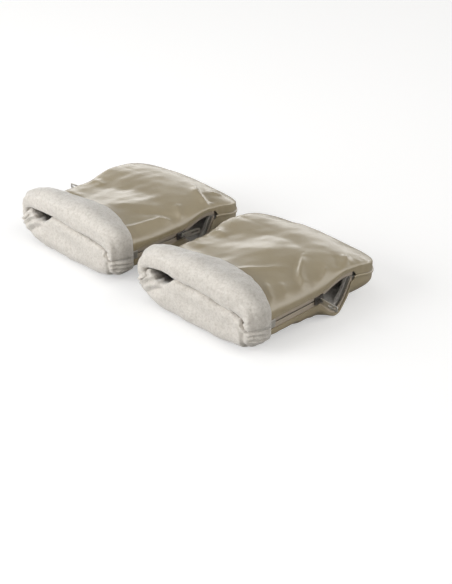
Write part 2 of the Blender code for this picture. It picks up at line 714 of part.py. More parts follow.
def half_layers(name, side, slump, folds, add):
    """Shell, wadding and lining of one half. The folds end in the wadding."""
    word = "upper" if side == UP else "lower"
    shell = ((0.0, 0.0), folds), ((SHELL_THICKNESS, SHELL_THICKNESS), folds)
    add(f"{name}_{word}_shell", bag_layer("shell", side, *shell, slump), "shell")
    under_shell = HALF_WIDTH - TAPE_INNER + CLEARANCE, SHELL_THICKNESS + CLEARANCE
    over_lining = LINING_SIDE_INSET - CLEARANCE, LINING_CROWN_INSET
    wadding = (under_shell, folds), (over_lining, ())
    add(f"{name}_{word}_wadding", bag_layer("wadding", side, *wadding, slump), "wadding")
    add(f"{name}_{word}_lining", lining_mesh("lining", side, slump), "lining")


def zip_rows(name, side, mirrored, add):
    """One half's tape, coil and top stop in one side plane."""
    word = "upper" if side == UP else "lower"
    tape = ("tape", side, TAPE_INNER, TAPE_OUTER, TAPE_START, TAPE_END, TAPE_HEIGHT, mirrored)
    add(f"{name}_{word}_tape", chain_strip(*tape), "tape")
    start = PIN_END + CLEARANCE if side == UP else BOX_CENTRE + BOX_LENGTH / 2 + CLEARANCE
    coil = ("coil", side, COIL_INNER, COIL_OUTER, start, COIL_END, COIL_HEIGHT, mirrored)
    add(f"{name}_{word}_coil", chain_strip(*coil), "coil")
    stop_start = COIL_END + CLEARANCE
    stop = ("stop", side, COIL_INNER, COIL_OUTER, stop_start, stop_start + STOP_LENGTH, COIL_HEIGHT, mirrored)
    add(f"{name}_{word}_stop", chain_strip(*stop), "metal")


def build_zip(name, mirrored, offset, flap, base, collection, cutters):
    """A whole zip: rows on both halves, pin, box, slider and puller."""

    def on_flap(node, mesh, kind):
        add_object(node, mesh, kind, flap, collection, offset)

    def on_base(node, mesh, kind):
        add_object(node, mesh, kind, base, collection, offset)

    zip_rows(name, UP, mirrored, on_flap)
    zip_rows(name, DOWN, mirrored, on_base)
    pin = chain_strip("pin", UP, COIL_INNER, COIL_OUTER, PIN_START, PIN_END, PIN_HEIGHT, mirrored)
    on_flap(f"{name}_pin", pin, "metal")
    on_base(f"{name}_box", box_mesh("box", mirrored), "metal")
    sign = -1 if mirrored else 1
    outer, inner, bridge = slider_parts()
    place = offset + Vector((sign * HALF_WIDTH, MOUTH_Y + SLIDER_CENTRE, SEAM_HEIGHT))
    slide = add_pivot(f"{name}_slide", place, base, collection)
    plate = prism_mesh("slider", [outer], mirrored)
    slider = add_object(f"{name}_slider", plate, "metal", slide, collection, offset)
    tools = []
    for word, mesh in (
        ("inner_plate", prism_mesh("inner plate", [inner], mirrored)),
        ("web", prism_mesh("web", [bridge], mirrored)),
        ("bail", bail_mesh("bail", mirrored)),
    ):
        mesh.transform(Matrix.Translation(offset - WORLD[slide.name]))
        tools.append(bpy.data.objects.new(f"{name}_{word}_tool", mesh))
    union(slider, tools, cutters)
    # The puller's root bar lies under the bail, and the hinge runs up through it.
    plate_top = TAPE_OUTER + CLEARANCE + SLIDER_OUTER_PLATE
    hinge_x = plate_top + (BAIL_HEIGHT - BAIL_BAR) / 2
    place = offset + Vector((sign * hinge_x, MOUTH_Y + SLIDER_CENTRE, SEAM_HEIGHT))
    hinge = add_pivot(f"{name}_puller_hinge", place, slide, collection)
    puller = add_object(f"{name}_puller", puller_mesh(f"{name}_puller"), "metal", hinge, collection, place)
    angle = PULLER_OUTER_ANGLE if "outer" in name else PULLER_INNER_ANGLE
    if mirrored:
        puller.data.transform(Matrix.Rotation(math.pi - angle, 4, "Z"))
    else:
        puller.data.transform(Matrix.Rotation(angle, 4, "Z"))


def build_muff(name, centre, outer_is_left, slump, folds, collection, cutters):
    """One muff: its base with the lower half, and the flap with the upper half on the hinge at the tip."""
    offset = Vector((centre, 0, 0))
    base = add_pivot(f"{name}_base", offset, None, collection)
    hinge = offset + Vector((0, MOUTH_Y + BAG_LENGTH, seam_height(BAG_LENGTH)))
    flap = add_pivot(f"{name}_flap", hinge, base, collection)

    def on_flap(node, mesh, kind):
        add_object(node, mesh, kind, flap, collection, offset)

    def on_base(node, mesh, kind):
        add_object(node, mesh, kind, base, collection, offset)

    half_layers(name, UP, slump, folds, on_flap)
    half_layers(name, DOWN, slump, (), on_base)
    on_base(f"{name}_front_binding", binding_mesh("binding"), "binding")
    for word, mirrored in (("outer", outer_is_left), ("inner", not outer_is_left)):
        build_zip(f"{name}_{word}_zip", mirrored, offset, flap, base, collection, cutters)


def main():
    for obj in list(bpy.data.objects):
        bpy.data.objects.remove(obj)
    collection = bpy.data.collections.new("hand_muffs")
    cutters = bpy.data.collections.new("tools")
    for made in (collection, cutters):
        bpy.context.scene.collection.children.link(made)
    right = MUFF_SPACING / 2, False, RIGHT_SLUMP_SHARES, RIGHT_FOLD_SHARES
    left = -MUFF_SPACING / 2, True, LEFT_SLUMP_SHARES, LEFT_FOLD_SHARES
    build_muff("right", *right, collection, cutters)
    build_muff("left", *left, collection, cutters)


main()
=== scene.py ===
import math

import bpy
import bmesh
import numpy as np
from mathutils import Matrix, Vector


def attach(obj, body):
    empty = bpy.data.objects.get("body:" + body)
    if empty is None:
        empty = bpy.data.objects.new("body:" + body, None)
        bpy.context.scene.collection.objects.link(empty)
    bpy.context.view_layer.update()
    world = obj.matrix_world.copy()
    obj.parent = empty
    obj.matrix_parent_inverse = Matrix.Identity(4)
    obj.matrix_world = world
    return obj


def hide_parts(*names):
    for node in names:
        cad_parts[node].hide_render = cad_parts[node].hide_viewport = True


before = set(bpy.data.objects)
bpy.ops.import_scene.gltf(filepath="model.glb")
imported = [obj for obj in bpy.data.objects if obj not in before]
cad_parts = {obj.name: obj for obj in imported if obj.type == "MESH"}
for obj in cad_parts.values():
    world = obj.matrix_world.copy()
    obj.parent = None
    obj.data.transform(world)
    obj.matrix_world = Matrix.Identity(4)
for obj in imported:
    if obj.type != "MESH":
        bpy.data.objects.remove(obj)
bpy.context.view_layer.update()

# The two halves of a muff, which are also the signs of their heights.
UP = 1
DOWN = -1

# The driving sizes of one muff, in metres, as the solids have them. u runs from the mouth line to the tip.
BAG_LENGTH = 0.211
BAG_WIDTH = 0.180
UPPER_CROWN = 0.031
LOWER_DEPTH = 0.032
CORNER_RADIUS = 0.038
MUFF_GAP = 0.0364
CLEARANCE = 0.0003
CUFF_REAR = 0.006
LIP_REACH = 0.0015
HALF_WIDTH = BAG_WIDTH / 2
SPACING = BAG_WIDTH + MUFF_GAP
SEAM_HEIGHT = LOWER_DEPTH
MOUTH_Y = CUFF_REAR - (CUFF_REAR + BAG_LENGTH + LIP_REACH) / 2

# The seam, which bends up where the bar passes and down at the tip, and the bar's way through both sides.
SEAM_RISE = 0.008
SEAM_DROP = 0.003
GAP_START = 0.098
GAP_LENGTH = 0.052
GAP_ABOVE = 0.003
GAP_BELOW = 0.026
GAP_LEAN = 1.3
LENS_END = GAP_START + GAP_LENGTH

# The layers, from the outside in.
SHELL = 0.001
WADDING = 0.007
LINING_THICK = 0.0039
LINING_CROWN = SHELL + WADDING + CLEARANCE
EDGE_RISE = 0.006
EDGE_CLOSE_LENGTH = 0.006
SHOULDER_RISE = 0.0095
SEAM_HALF_GAP = 0.00015
TIP = 0.001
FRONT_PULL = 1.2

# The turned-back cuff.
MOUTH_DEPTH = 0.012
MOUTH_HALF = HALF_WIDTH - 0.015
MOUTH_TAPER = 0.0065
TAPER_LENGTH = 0.019
UPPER_LOFT = 0.0140
LOWER_LOFT = 0.008
SIDE_LOFT = 0.0035
BAND_CROWN = 0.044
BAND_SIDE = 0.0225

# The zips, whose tapes and coils lie inside the shells' edges.
TAPE_THICK = 0.0009
TAPE_TALL = 0.0082
TAPE_START = 0.019
TAPE_END = 0.1525
TAPE_OUT = HALF_WIDTH - SHELL - CLEARANCE
TAPE_IN = TAPE_OUT - TAPE_THICK
COIL_THICK = 0.0014
COIL_TALL = 0.0022
COIL_OUT = TAPE_IN - CLEARANCE
COIL_IN = COIL_OUT - COIL_THICK
SLIDER_PLATE = 0.0014
LINING_SIDE = HALF_WIDTH - COIL_IN + SLIDER_PLATE + 3 * CLEARANCE
COIL_START = {UP: 0.0333, DOWN: 0.0300}
COIL_END = 0.148
CHAIN_GAP = 0.0008

# The two muffs' places, the share of its height each loses over the wrist at its middle and at its left, and
# where that happens.
SIDES = {"right": SPACING / 2, "left": -SPACING / 2}
SLUMP = {"right": (0.0, 0.42), "left": (0.16, 0.60)}
SLUMP_ACROSS = (-0.35, 0.75)
SLUMP_BEGINS = (0.015, 0.060)
SLUMP_ENDS = (0.125, 0.190)

# Shapes along the bag: shares of its length against shares of the crown, the depth and the shoulder.
CROWN_TABLE = ((0.0, 0.2, 0.42, 0.58, 0.7, 0.8, 0.88, 0.94, 0.98, 1.0),
               (1.0, 0.97, 1.0, 0.99, 0.93, 0.81, 0.63, 0.44, 0.24, 0.0))
DEPTH_TABLE = ((0.0, 0.275, 0.36, 0.75, 0.85, 0.92, 0.97, 1.0),
               (0.75, 0.75, 1.0, 1.0, 0.88, 0.66, 0.38, 0.0))
SHOULDER_TABLE = ((0.0, 0.73, 0.8, 1.0), (0.9, 0.9, 0.5, 0.5))

# The dome's section: its powers across and up, rounder from the wrist on, and a flat belly below. The last
# three are for spacing the columns.
ACROSS_POWER = 0.85
FULL_POWER = 0.62
ROUNDER_POWER = 0.20
ROUNDER_PLACE = (0.018, 0.075)
BELLY_POWER = 0.85
BELLY_SHARE = 1.10
SECTION_POWER = 0.72
SECTION_RISE = 0.022
SECTION_SAMPLES = 4001

# How far dressed surfaces stay above the floor, the spread of the waves, and where shading turns sharp.
SHELL_ABOVE_FLOOR = 0.0002
FLEECE_ABOVE_FLOOR = 0.0003
WAVE_SIZES = (0.7, 1.6)
WAVE_PHASE = 6.28
CLOTH_SHARP_ANGLE = math.radians(50)
METAL_SHARP_ANGLE = math.radians(40)
TINY = 1e-12


# Curves and surfaces

def smooth(low, high, value):
    """0 at low and 1 at high, whichever is the larger."""
    t = np.clip((value - low) / (high - low), 0, 1)
    return t * t * (3 - 2 * t)


def curve(table, value):
    """A monotone cubic through the table's points."""
    x, y = np.array(table)
    step = np.diff(x)
    slope = np.diff(y) / step
    lean = np.zeros_like(x)
    for i in range(1, len(x) - 1):
        if slope[i - 1] * slope[i] > 0:
            before, after = 2 * step[i] + step[i - 1], step[i] + 2 * step[i - 1]
            lean[i] = (before + after) / (before / slope[i - 1] + after / slope[i])
    lean[0], lean[-1] = slope[0], slope[-1]
    value = np.clip(value, x[0], x[-1])
    cell = np.clip(np.searchsorted(x, value) - 1, 0, len(step) - 1)
    t = (value - x[cell]) / step[cell]
    return ((1 + 2 * t) * (1 - t) ** 2 * y[cell] + t * (1 - t) ** 2 * step[cell] * lean[cell]
            + t * t * (3 - 2 * t) * y[cell + 1] + t * t * (t - 1) * step[cell] * lean[cell + 1])


def run_along(path):
    """How far along a path each of its points lies."""
    return np.concatenate([[0], np.cumsum(np.linalg.norm(np.diff(path, axis=0), axis=1))])


def point_at(places, run, path):
    """The path's points, or directions, at the given distances along it."""
    return np.stack([np.interp(places, run, path[:, k]) for k in range(3)], axis=-1)


def seam_height(u):
    return (SEAM_HEIGHT + SEAM_RISE * smooth(GAP_START, LENS_END, u)
            - (SEAM_RISE + SEAM_DROP) * smooth(LENS_END, BAG_LENGTH, u))


def bar_gap(u, side):
    """How far the bar's gap reaches from the seam's height, up or down."""
    t = np.clip((u - GAP_START) / GAP_LENGTH, 0, 1)
    return (GAP_ABOVE if side == UP else GAP_BELOW) * np.sin(np.pi * t ** GAP_LEAN)


def plan_half(u):
    """Half the bag's width, seen from above: narrower at the mouth and rounded at the front corners."""
    past = np.clip(u - (BAG_LENGTH - CORNER_RADIUS), 0, CORNER_RADIUS)
    taper = MOUTH_TAPER * np.clip(1 - u / TAPER_LENGTH, 0, 1) ** 2
    return HALF_WIDTH - CORNER_RADIUS + np.sqrt(np.maximum(CORNER_RADIUS ** 2 - past ** 2, 0)) - taper


def full_height(u, side):
    """How far a half stands off the seam's height at its middle."""
    level = seam_height(u) - SEAM_HEIGHT
    if side == UP:
        return np.maximum(UPPER_CROWN * curve(CROWN_TABLE, u / BAG_LENGTH) - level, TIP)
    return np.maximum(LOWER_DEPTH * curve(DEPTH_TABLE, u / BAG_LENGTH) + level, TIP)


def even_columns(count, walls):
    """The places of a grid's columns, spaced evenly along a section from side to side.

    For each column: where it is across the width, a cosine for how far up the dome it is, and how far up the
    straight wall below the dome.
    """
    angle = np.linspace(-np.pi / 2, np.pi / 2, SECTION_SAMPLES)
    x = np.sign(angle) * np.abs(np.sin(angle)) ** ACROSS_POWER
    z = np.maximum(np.cos(angle), 0) ** SECTION_POWER
    run = run_along(np.stack([x * HALF_WIDTH, z * SECTION_RISE], axis=1))
    pick = np.interp(np.linspace(0, run[-1], count), run, angle)
    across = np.sign(pick) * np.abs(np.sin(pick)) ** ACROSS_POWER
    dome = np.maximum(np.cos(pick), 0)
    across[0], across[-1], dome[0], dome[-1] = -1, 1, 0, 0
    up = np.linspace(0, 1, walls, endpoint=False)
    ones = np.ones(walls)
    return (np.concatenate([-ones, across, ones]), np.concatenate([0 * ones, dome, 0 * ones]),
            np.concatenate([up, np.ones(count), up[::-1]]))


def dome_share(cosine, u, side):
    """How far up from shoulder to crown: full over the wrist, and rounder further along."""
    if side == DOWN:
        return np.minimum(1, cosine ** BELLY_POWER * BELLY_SHARE)
    return cosine ** (FULL_POWER + ROUNDER_POWER * smooth(*ROUNDER_PLACE, u))


def slump_share(across, u, side, slump):
    """How much of its height a half keeps; slump is the upper half's loss at its middle and at its left."""
    if side == DOWN:
        return 1.0
    along = smooth(*SLUMP_BEGINS, u) * (1 - smooth(*SLUMP_ENDS, u))
    return 1 - along * (slump[0] + (slump[1] - slump[0]) * smooth(*SLUMP_ACROSS, -across))


def bag_grid(us, cols, side, slump, side_inset=0.0, crown_inset=0.0, edge_rise=EDGE_RISE,
             edge_gap=SEAM_HALF_GAP):
    """A layer's points, one row for each u, in the muff's own frame."""
    us = np.asarray(us, float)[:, None]
    across, cosine, wall = (column[None, :] for column in cols)
    uc = np.clip(us, 0, BAG_LENGTH)
    gap, height = bar_gap(uc, side), full_height(uc, side)
    room = np.maximum(height - gap, 0)
    shoulder = gap + np.minimum(SHOULDER_RISE, curve(SHOULDER_TABLE, uc / BAG_LENGTH) * room)
    scale = height / (UPPER_CROWN if side == UP else LOWER_DEPTH)
    crown = np.maximum(height - crown_inset * np.minimum(1, scale), gap + TIP / 2)
    shoulder = np.minimum(shoulder, crown)
    front = 1 - smooth(TAPE_END, TAPE_END + EDGE_CLOSE_LENGTH, uc)
    edge = np.minimum(gap + edge_gap + (edge_rise - edge_gap) * front, shoulder)
    dome = dome_share(cosine, uc, side) * slump_share(across, uc, side, slump)
    rise = np.where(wall < 1, edge + (shoulder - edge) * wall, shoulder + (crown - shoulder) * dome)
    x = (plan_half(uc) - side_inset) * across
    along = us - FRONT_PULL * side_inset * smooth(LENS_END, BAG_LENGTH, uc)
    return np.stack([x, MOUTH_Y + along + 0 * x, seam_height(uc) + side * rise], axis=2)


def unit(vectors):
    """The same directions, of length 1."""
    return vectors / np.maximum(np.linalg.norm(vectors, axis=-1, keepdims=True), TINY)


def normals(grid, flip):
    return unit(np.cross(np.gradient(grid, axis=1), np.gradient(grid, axis=0)) * flip)


def waves(x, y, seed, size, count=10):
    """Soft unevenness from a few sine waves, about this size across, between about -1 and 1."""
    rng = np.random.default_rng(seed)
    total = np.zeros(np.broadcast(x, y).shape)
    for _ in range(count):
        turn = rng.uniform(0, np.pi)
        k = 2 * np.pi / (size * rng.uniform(*WAVE_SIZES))
        total += np.sin(k * (x * np.cos(turn) + y * np.sin(turn)) + rng.uniform(0, WAVE_PHASE))
    return total / math.sqrt(count)


# Meshes and pieces

def grid_faces(rows, cols, start=0, flip=False):
    i, j = np.meshgrid(np.arange(rows - 1), np.arange(cols - 1), indexing="ij")
    corner = (start + i * cols + j).ravel()
    quads = np.stack([corner, corner + 1, corner + 1 + cols, corner + cols], axis=1)
    return quads[:, ::-1] if flip else quads


def ring_faces(rows, ring, start=0):
    """The faces of a tube whose points go round a ring in each row, with a cap at each end."""
    faces = []
    last = start + (rows - 1) * ring
    for row in range(start, last, ring):
        for one in range(ring):
            other = (one + 1) % ring
            faces.append((row + one, row + other, row + ring + other, row + ring + one))
    return faces + [tuple(range(start, start + ring)), tuple(range(last + ring - 1, last - 1, -1))]


def solid_from_grids(name, outer, inner, centre=0.0):
    """A closed mesh between two grids of the same rows and columns, moved to this centre across."""
    rows, cols = outer.shape[:2]
    points = np.concatenate([outer.reshape(-1, 3), inner.reshape(-1, 3)]) + [centre, 0, 0]
    count = rows * cols
    faces = [grid_faces(rows, cols), grid_faces(rows, cols, count, True)]
    borders = ((0, 1, cols), (count - cols, 1, cols), (0, cols, rows), (cols - 1, cols, rows))
    for first, step, places in borders:
        edge = first + step * np.arange(places - 1)
        faces.append(np.stack([edge, edge + step, edge + step + count, edge + count], axis=1))
    return add_mesh(name, points, np.concatenate(faces))


def add_object(name, data):
    obj = bpy.data.objects.new(name, data)
    bpy.context.scene.collection.objects.link(obj)
    return obj


def add_mesh(name, points, faces):
    """A new smooth-shaded object with its faces turned outwards."""
    mesh = bpy.data.meshes.new(name)
    mesh.from_pydata([tuple(point) for point in points], [], [tuple(int(k) for k in face) for face in faces])
    bm = bmesh.new()
    bm.from_mesh(mesh)
    bmesh.ops.recalc_face_normals(bm, faces=bm.faces)
    bm.to_mesh(mesh)
    bm.free()
    mesh.shade_smooth()
    mesh.set_sharp_from_angle(angle=CLOTH_SHARP_ANGLE)
    return add_object(name, mesh)


def finish_piece(obj, material, body, slot, *nodes):
    """Gives a piece its material and body, and hides the CAD nodes it stands for. The slot is not used."""
    obj.data.materials.clear()
    obj.data.materials.append(material)
    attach(obj, body)
    if nodes:
        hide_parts(*nodes)


def half_names(muff, side):
    """The word for a half of a muff, and the body it rides on."""
    return ("upper", f"{muff}_flap") if side == UP else ("lower", f"{muff}_base")


# Folds

# A fold's fall to the side, the share of its path over which each end fades, and the height its ends keep.
FOLD_POWER = 1.4
FOLD_TAPER = 0.3
FOLD_END = 0.25
FAR = 1e9


def path_distance(x, y, path):
    """Signed distance to a polyline, and the share of the way along it."""
    best = np.full(x.shape, FAR)
    sign = np.ones(x.shape)
    along = np.zeros(x.shape)
    pts = np.array(path, float)
    lens = np.hypot(*np.diff(pts, axis=0).T)
    total, run = lens.sum(), 0.0
    for (ax, ay), (bx, by), length in zip(pts[:-1], pts[1:], lens):
        tx, ty = (bx - ax) / length, (by - ay) / length
        t = np.clip((x - ax) * tx + (y - ay) * ty, 0, length)
        dx, dy = x - ax - t * tx, y - ay - t * ty
        away = np.hypot(dx, dy)
        near = away < best
        best = np.where(near, away, best)
        sign = np.where(near, np.sign(tx * dy - ty * dx), sign)
        along = np.where(near, (run + t) / total, along)
        run += length
    return best * sign, along


def fold(x, y, path, height, left, right):
    """A ridge along a path, in metres, falling over `left` on one side and `right` on the other."""
    away, share = path_distance(x, y, path)
    wide = np.where(away > 0, left, right)
    taper = smooth(0, FOLD_TAPER, share) * (1 - smooth(1 - FOLD_TAPER, 1, share))
    return height * np.exp(-(np.abs(away) / wide) ** FOLD_POWER) * (FOLD_END + (1 - FOLD_END) * taper)


# Each fold: its path as (x, u) points, its height, and how far it falls to the path's left and right.
FOLDS = {
    ("right", UP): [
        (((0.046, 0.12), (0.055, 0.107), (0.0635, 0.0945), (0.0722, 0.0842), (0.0819, 0.0785),
          (0.09, 0.08)), 0.004, 0.007, 0.0024),
        (((0.048, 0.104), (0.058, 0.09), (0.068, 0.079), (0.08, 0.072)), -0.0016, 0.006, 0.012),
        (((0.012, 0.038), (0.025, 0.052), (0.04, 0.07), (0.0523, 0.092)), 0.0013, 0.005, 0.0018),
        (((0.074, 0.124), (0.0819, 0.1145), (0.0864, 0.103), (0.09, 0.095)), 0.0027, 0.005, 0.0024),
        (((0.07, 0.162), (0.0796, 0.1519), (0.09, 0.14)), 0.0028, 0.0045, 0.005),
        (((0.062, 0.15), (0.076, 0.14), (0.088, 0.129)), -0.0016, 0.006, 0.006),
        (((0.056, 0.049), (0.068, 0.04), (0.08, 0.033), (0.089, 0.03)), 0.0018, 0.0045, 0.0035),
        (((0.064, 0.062), (0.078, 0.055), (0.089, 0.053)), 0.0014, 0.006, 0.004),
        (((-0.05, 0.118), (-0.02, 0.135), (0.012, 0.138), (0.045, 0.128)), -0.0024, 0.02, 0.024),
        (((-0.03, 0.08), (-0.005, 0.092), (0.028, 0.11)), 0.0014, 0.016, 0.014),
        (((-0.045, 0.188), (0.0, 0.196), (0.04, 0.19)), 0.0012, 0.008, 0.01),
        (((-0.088, 0.1), (-0.074, 0.108), (-0.055, 0.104)), 0.0022, 0.006, 0.007),
        (((-0.088, 0.062), (-0.07, 0.07), (-0.052, 0.066)), 0.0016, 0.006, 0.006),
    ],
    ("left", UP): [
        (((0.04, 0.168), (0.0552, 0.1556), (0.072, 0.148), (0.0836, 0.1446), (0.0895, 0.143)),
         0.0042, 0.0026, 0.007),
        (((0.056, 0.166), (0.072, 0.157), (0.086, 0.153)), -0.0018, 0.007, 0.005),
        (((0.066, 0.03), (0.07, 0.042), (0.071, 0.06), (0.073, 0.078), (0.08, 0.086),
          (0.089, 0.09)), 0.0028, 0.0032, 0.006),
        (((0.05, 0.066), (0.062, 0.084), (0.078, 0.098)), -0.002, 0.007, 0.007),
        (((0.06, 0.118), (0.074, 0.108), (0.088, 0.101)), 0.0024, 0.006, 0.005),
        (((-0.04, 0.1), (-0.005, 0.112), (0.035, 0.108)), -0.0022, 0.018, 0.022),
        (((0.01, 0.06), (0.03, 0.074), (0.044, 0.092)), 0.0016, 0.012, 0.01),
        (((0.072, 0.186), (0.066, 0.176), (0.058, 0.172)), 0.0016, 0.005, 0.006),
        (((-0.088, 0.098), (-0.072, 0.104), (-0.052, 0.098)), 0.0022, 0.006, 0.007),
        (((-0.088, 0.056), (-0.07, 0.062), (-0.05, 0.06)), 0.0016, 0.006, 0.006),
        (((-0.045, 0.186), (0.0, 0.194), (0.04, 0.188)), 0.0012, 0.008, 0.01),
    ],
    ("right", DOWN): [
        (((0.088, 0.086), (0.08, 0.1), (0.066, 0.104)), 0.0022, 0.007, 0.006),
        (((0.088, 0.062), (0.078, 0.066), (0.06, 0.064)), 0.0016, 0.006, 0.006),
        (((-0.088, 0.09), (-0.078, 0.1), (-0.06, 0.102)), 0.002, 0.007, 0.006),
        (((0.07, 0.186), (0.05, 0.178), (0.03, 0.176)), 0.0014, 0.007, 0.006),
        (((-0.07, 0.186), (-0.05, 0.178), (-0.03, 0.176)), 0.0014, 0.007, 0.006),
    ],
    ("left", DOWN): [
        (((0.088, 0.088), (0.08, 0.1), (0.064, 0.106)), 0.0022, 0.007, 0.006),
        (((-0.088, 0.086), (-0.078, 0.098), (-0.062, 0.1)), 0.002, 0.007, 0.006),
        (((0.066, 0.188), (0.05, 0.178), (0.034, 0.178)), 0.0014, 0.007, 0.006),
        (((-0.07, 0.184), (-0.05, 0.178), (-0.03, 0.174)), 0.0014, 0.007, 0.006),
    ],
}

# The lower roll's gathers at the mouth's left end, as (x, height) paths like those of the folds.
CUFF_FOLDS = (
    (((-0.0835, -0.003), (-0.074, 0.005), (-0.062, 0.0105)), -0.0028, 0.0018, 0.0026),
    (((-0.0815, -0.0095), (-0.07, 0.0), (-0.052, 0.009)), -0.0044, 0.002, 0.0036),
    (((-0.076, -0.018), (-0.062, -0.007), (-0.044, 0.001)), -0.0038, 0.002, 0.0038),
    (((-0.0815, -0.006), (-0.071, 0.003), (-0.056, 0.0105)), 0.0024, 0.0024, 0.0024),
    (((-0.0785, -0.0135), (-0.066, -0.003), (-0.048, 0.006)), 0.0032, 0.003, 0.0032),
    (((-0.07, -0.024), (-0.052, -0.013), (-0.033, -0.006)), 0.0013, 0.0045, 0.0045),
    (((0.05, 0.01), (0.062, 0.002), (0.07, -0.01)), -0.0009, 0.004, 0.004),
    (((-0.03, 0.004), (0.0, -0.004), (0.035, -0.006)), -0.0009, 0.008, 0.008),
)

# The shells' unevenness: height and size of the broad waves, the ripples and the puckers along the zips, and
# the distances from the front and from the side edge over which each fades in.
BROAD_WAVE = (0.0006, 0.095)
BROAD_COUNT = 6
RIPPLE = (0.00018, 0.026)
PUCKER = (0.00022, 0.012)
PUCKER_COUNT = 5
PUCKER_REACH = 0.014
WAVE_FRONT = (0.0, 0.020)
WAVE_EDGE = (-0.002, 0.012)
PUCKER_FRONT = (0.02, 0.06)
PUCKER_EDGE = (-0.005, 0.002)
FOLD_EDGE = (-0.001, 0.010)
SHELL_SEEDS = {"right": {UP: 11, DOWN: 16}, "left": {UP: 23, DOWN: 28}}


def shell_relief(x, u, side, name):
    """Height of the folds and puckers of a shell, in metres, over its own plane."""
    seed = SHELL_SEEDS[name][side]
    off_edge = plan_half(np.clip(u, 0, BAG_LENGTH)) - np.abs(x)
    ends = smooth(*WAVE_FRONT, BAG_LENGTH - u) * smooth(*WAVE_EDGE, off_edge)
    lift = BROAD_WAVE[0] * waves(x, u, seed, BROAD_WAVE[1], BROAD_COUNT) * ends
    lift += RIPPLE[0] * waves(x, u, seed + 1, RIPPLE[1]) * ends
    near = np.exp(-np.maximum(off_edge, 0) / PUCKER_REACH) * smooth(*PUCKER_EDGE, off_edge)
    puckers = waves(u, 0 * u, seed + 2, PUCKER[1], PUCKER_COUNT)
    lift += PUCKER[0] * near * puckers * smooth(*PUCKER_FRONT, BAG_LENGTH - u)
    for one in FOLDS[(name, side)]:
        lift = lift + fold(x, u, *one) * smooth(*FOLD_EDGE, off_edge)
    return lift


# Materials

# Linear colours, each as its darker and its lighter tone.
GREIGE = ((0.322, 0.264, 0.164), (0.366, 0.304, 0.194))
# The cream's darker tone is painted shade for the gaps between the fleece's clumps of pile.
CREAM = ((0.585, 0.545, 0.488), (0.758, 0.720, 0.664))
TAPE_TONES = ((0.31, 0.26, 0.20), (0.43, 0.365, 0.285))
COIL_TONES = ((0.25, 0.205, 0.155), (0.33, 0.275, 0.21))
THREAD_TONES = ((0.27, 0.24, 0.18), (0.40, 0.36, 0.29))
WADDING_TONES = ((0.66, 0.65, 0.62), (0.82, 0.81, 0.78))
BRIGHT_NICKEL = (0.80, 0.78, 0.74)
GUNMETAL = (0.20, 0.19, 0.18)

# Painted shade over the turned-back band: behind the mouth line the fleece keeps this share of the rolls'
# lightness.
BAND_PAINTED_SHADE_SHARE = 0.75
BAND_SHADE_TURN = (MOUTH_Y - 0.002, MOUTH_Y + 0.012)


def new_material(name, colour, rough, **sockets):
    """A material with constant values on its shader's sockets; also its tree, shader and coordinates."""
    mat = bpy.data.materials.new(name)
    mat.use_nodes = True
    tree = mat.node_tree
    shader = tree.nodes["Principled BSDF"]
    shader.inputs["Base Color"].default_value = (*colour, 1)
    shader.inputs["Roughness"].default_value = rough
    for key, value in sockets.items():
        shader.inputs[key.replace("_", " ")].default_value = value
    coords = tree.nodes.new("ShaderNodeTexCoord")
    return mat, tree, shader, coords.outputs["Object"]


def node(tree, kind, **values):
    """A new node with these properties and input values."""
    made = tree.nodes.new(kind)
    for key, value in values.items():
        if hasattr(made, key) and key not in made.inputs:
            setattr(made, key, value)
        else:
            made.inputs[key.replace("_", " ")].default_value = value
    return made


def math_node(tree, operation, *values):
    """A math node's output, with each input linked to an output or set to a constant."""
    made = node(tree, "ShaderNodeMath", operation=operation)
    for k, value in enumerate(values):
        if isinstance(value, float):
            made.inputs[k].default_value = value
        else:
            tree.links.new(value, made.inputs[k])
    return made.outputs[0]


def noise(tree, coords, scale, detail=3.0, rough=0.5, distortion=0.0):
    made = node(tree, "ShaderNodeTexNoise", Scale=scale, Detail=detail, Roughness=rough,
                Distortion=distortion)
    tree.links.new(coords, made.inputs["Vector"])
    return made.outputs["Fac"]


def weave(tree, coords, scale):
    """Crossed threads: bands along X times bands along Y, plus bands along Z."""
    out = []
    for axis in ("X", "Y", "Z"):
        made = node(tree, "ShaderNodeTexWave", wave_type="BANDS", bands_direction=axis, Scale=scale)
        tree.links.new(coords, made.inputs["Vector"])
        out.append(made.outputs["Fac"])
    return math_node(tree, "ADD", math_node(tree, "MULTIPLY", out[0], out[1]), out[2])


def tone_ramp(tree, fac, tones, low, high):
    """From the darker tone at low to the lighter at high."""
    made = tree.nodes.new("ShaderNodeValToRGB")
    for element, place, tone in zip(made.color_ramp.elements, (low, high), tones):
        element.position = place
        element.color = (*tone, 1)
    tree.links.new(fac, made.inputs["Fac"])
    return made.outputs["Color"]


def span(tree, value, low, high, **ends):
    """A value mapped to between low and high."""
    made = node(tree, "ShaderNodeMapRange", To_Min=low, To_Max=high, **ends)
    tree.links.new(value, made.inputs["Value"])
    return made.outputs["Result"]


def bump(tree, shader, *layers):
    """Bumps on top of each other, each (height output, strength, distance in metres)."""
    before = None
    for height, strength, distance in layers:
        made = node(tree, "ShaderNodeBump", Strength=strength, Distance=distance)
        tree.links.new(height, made.inputs["Height"])
        if before:
            tree.links.new(before, made.inputs["Normal"])
        before = made.outputs["Normal"]
    tree.links.new(before, shader.inputs["Normal"])


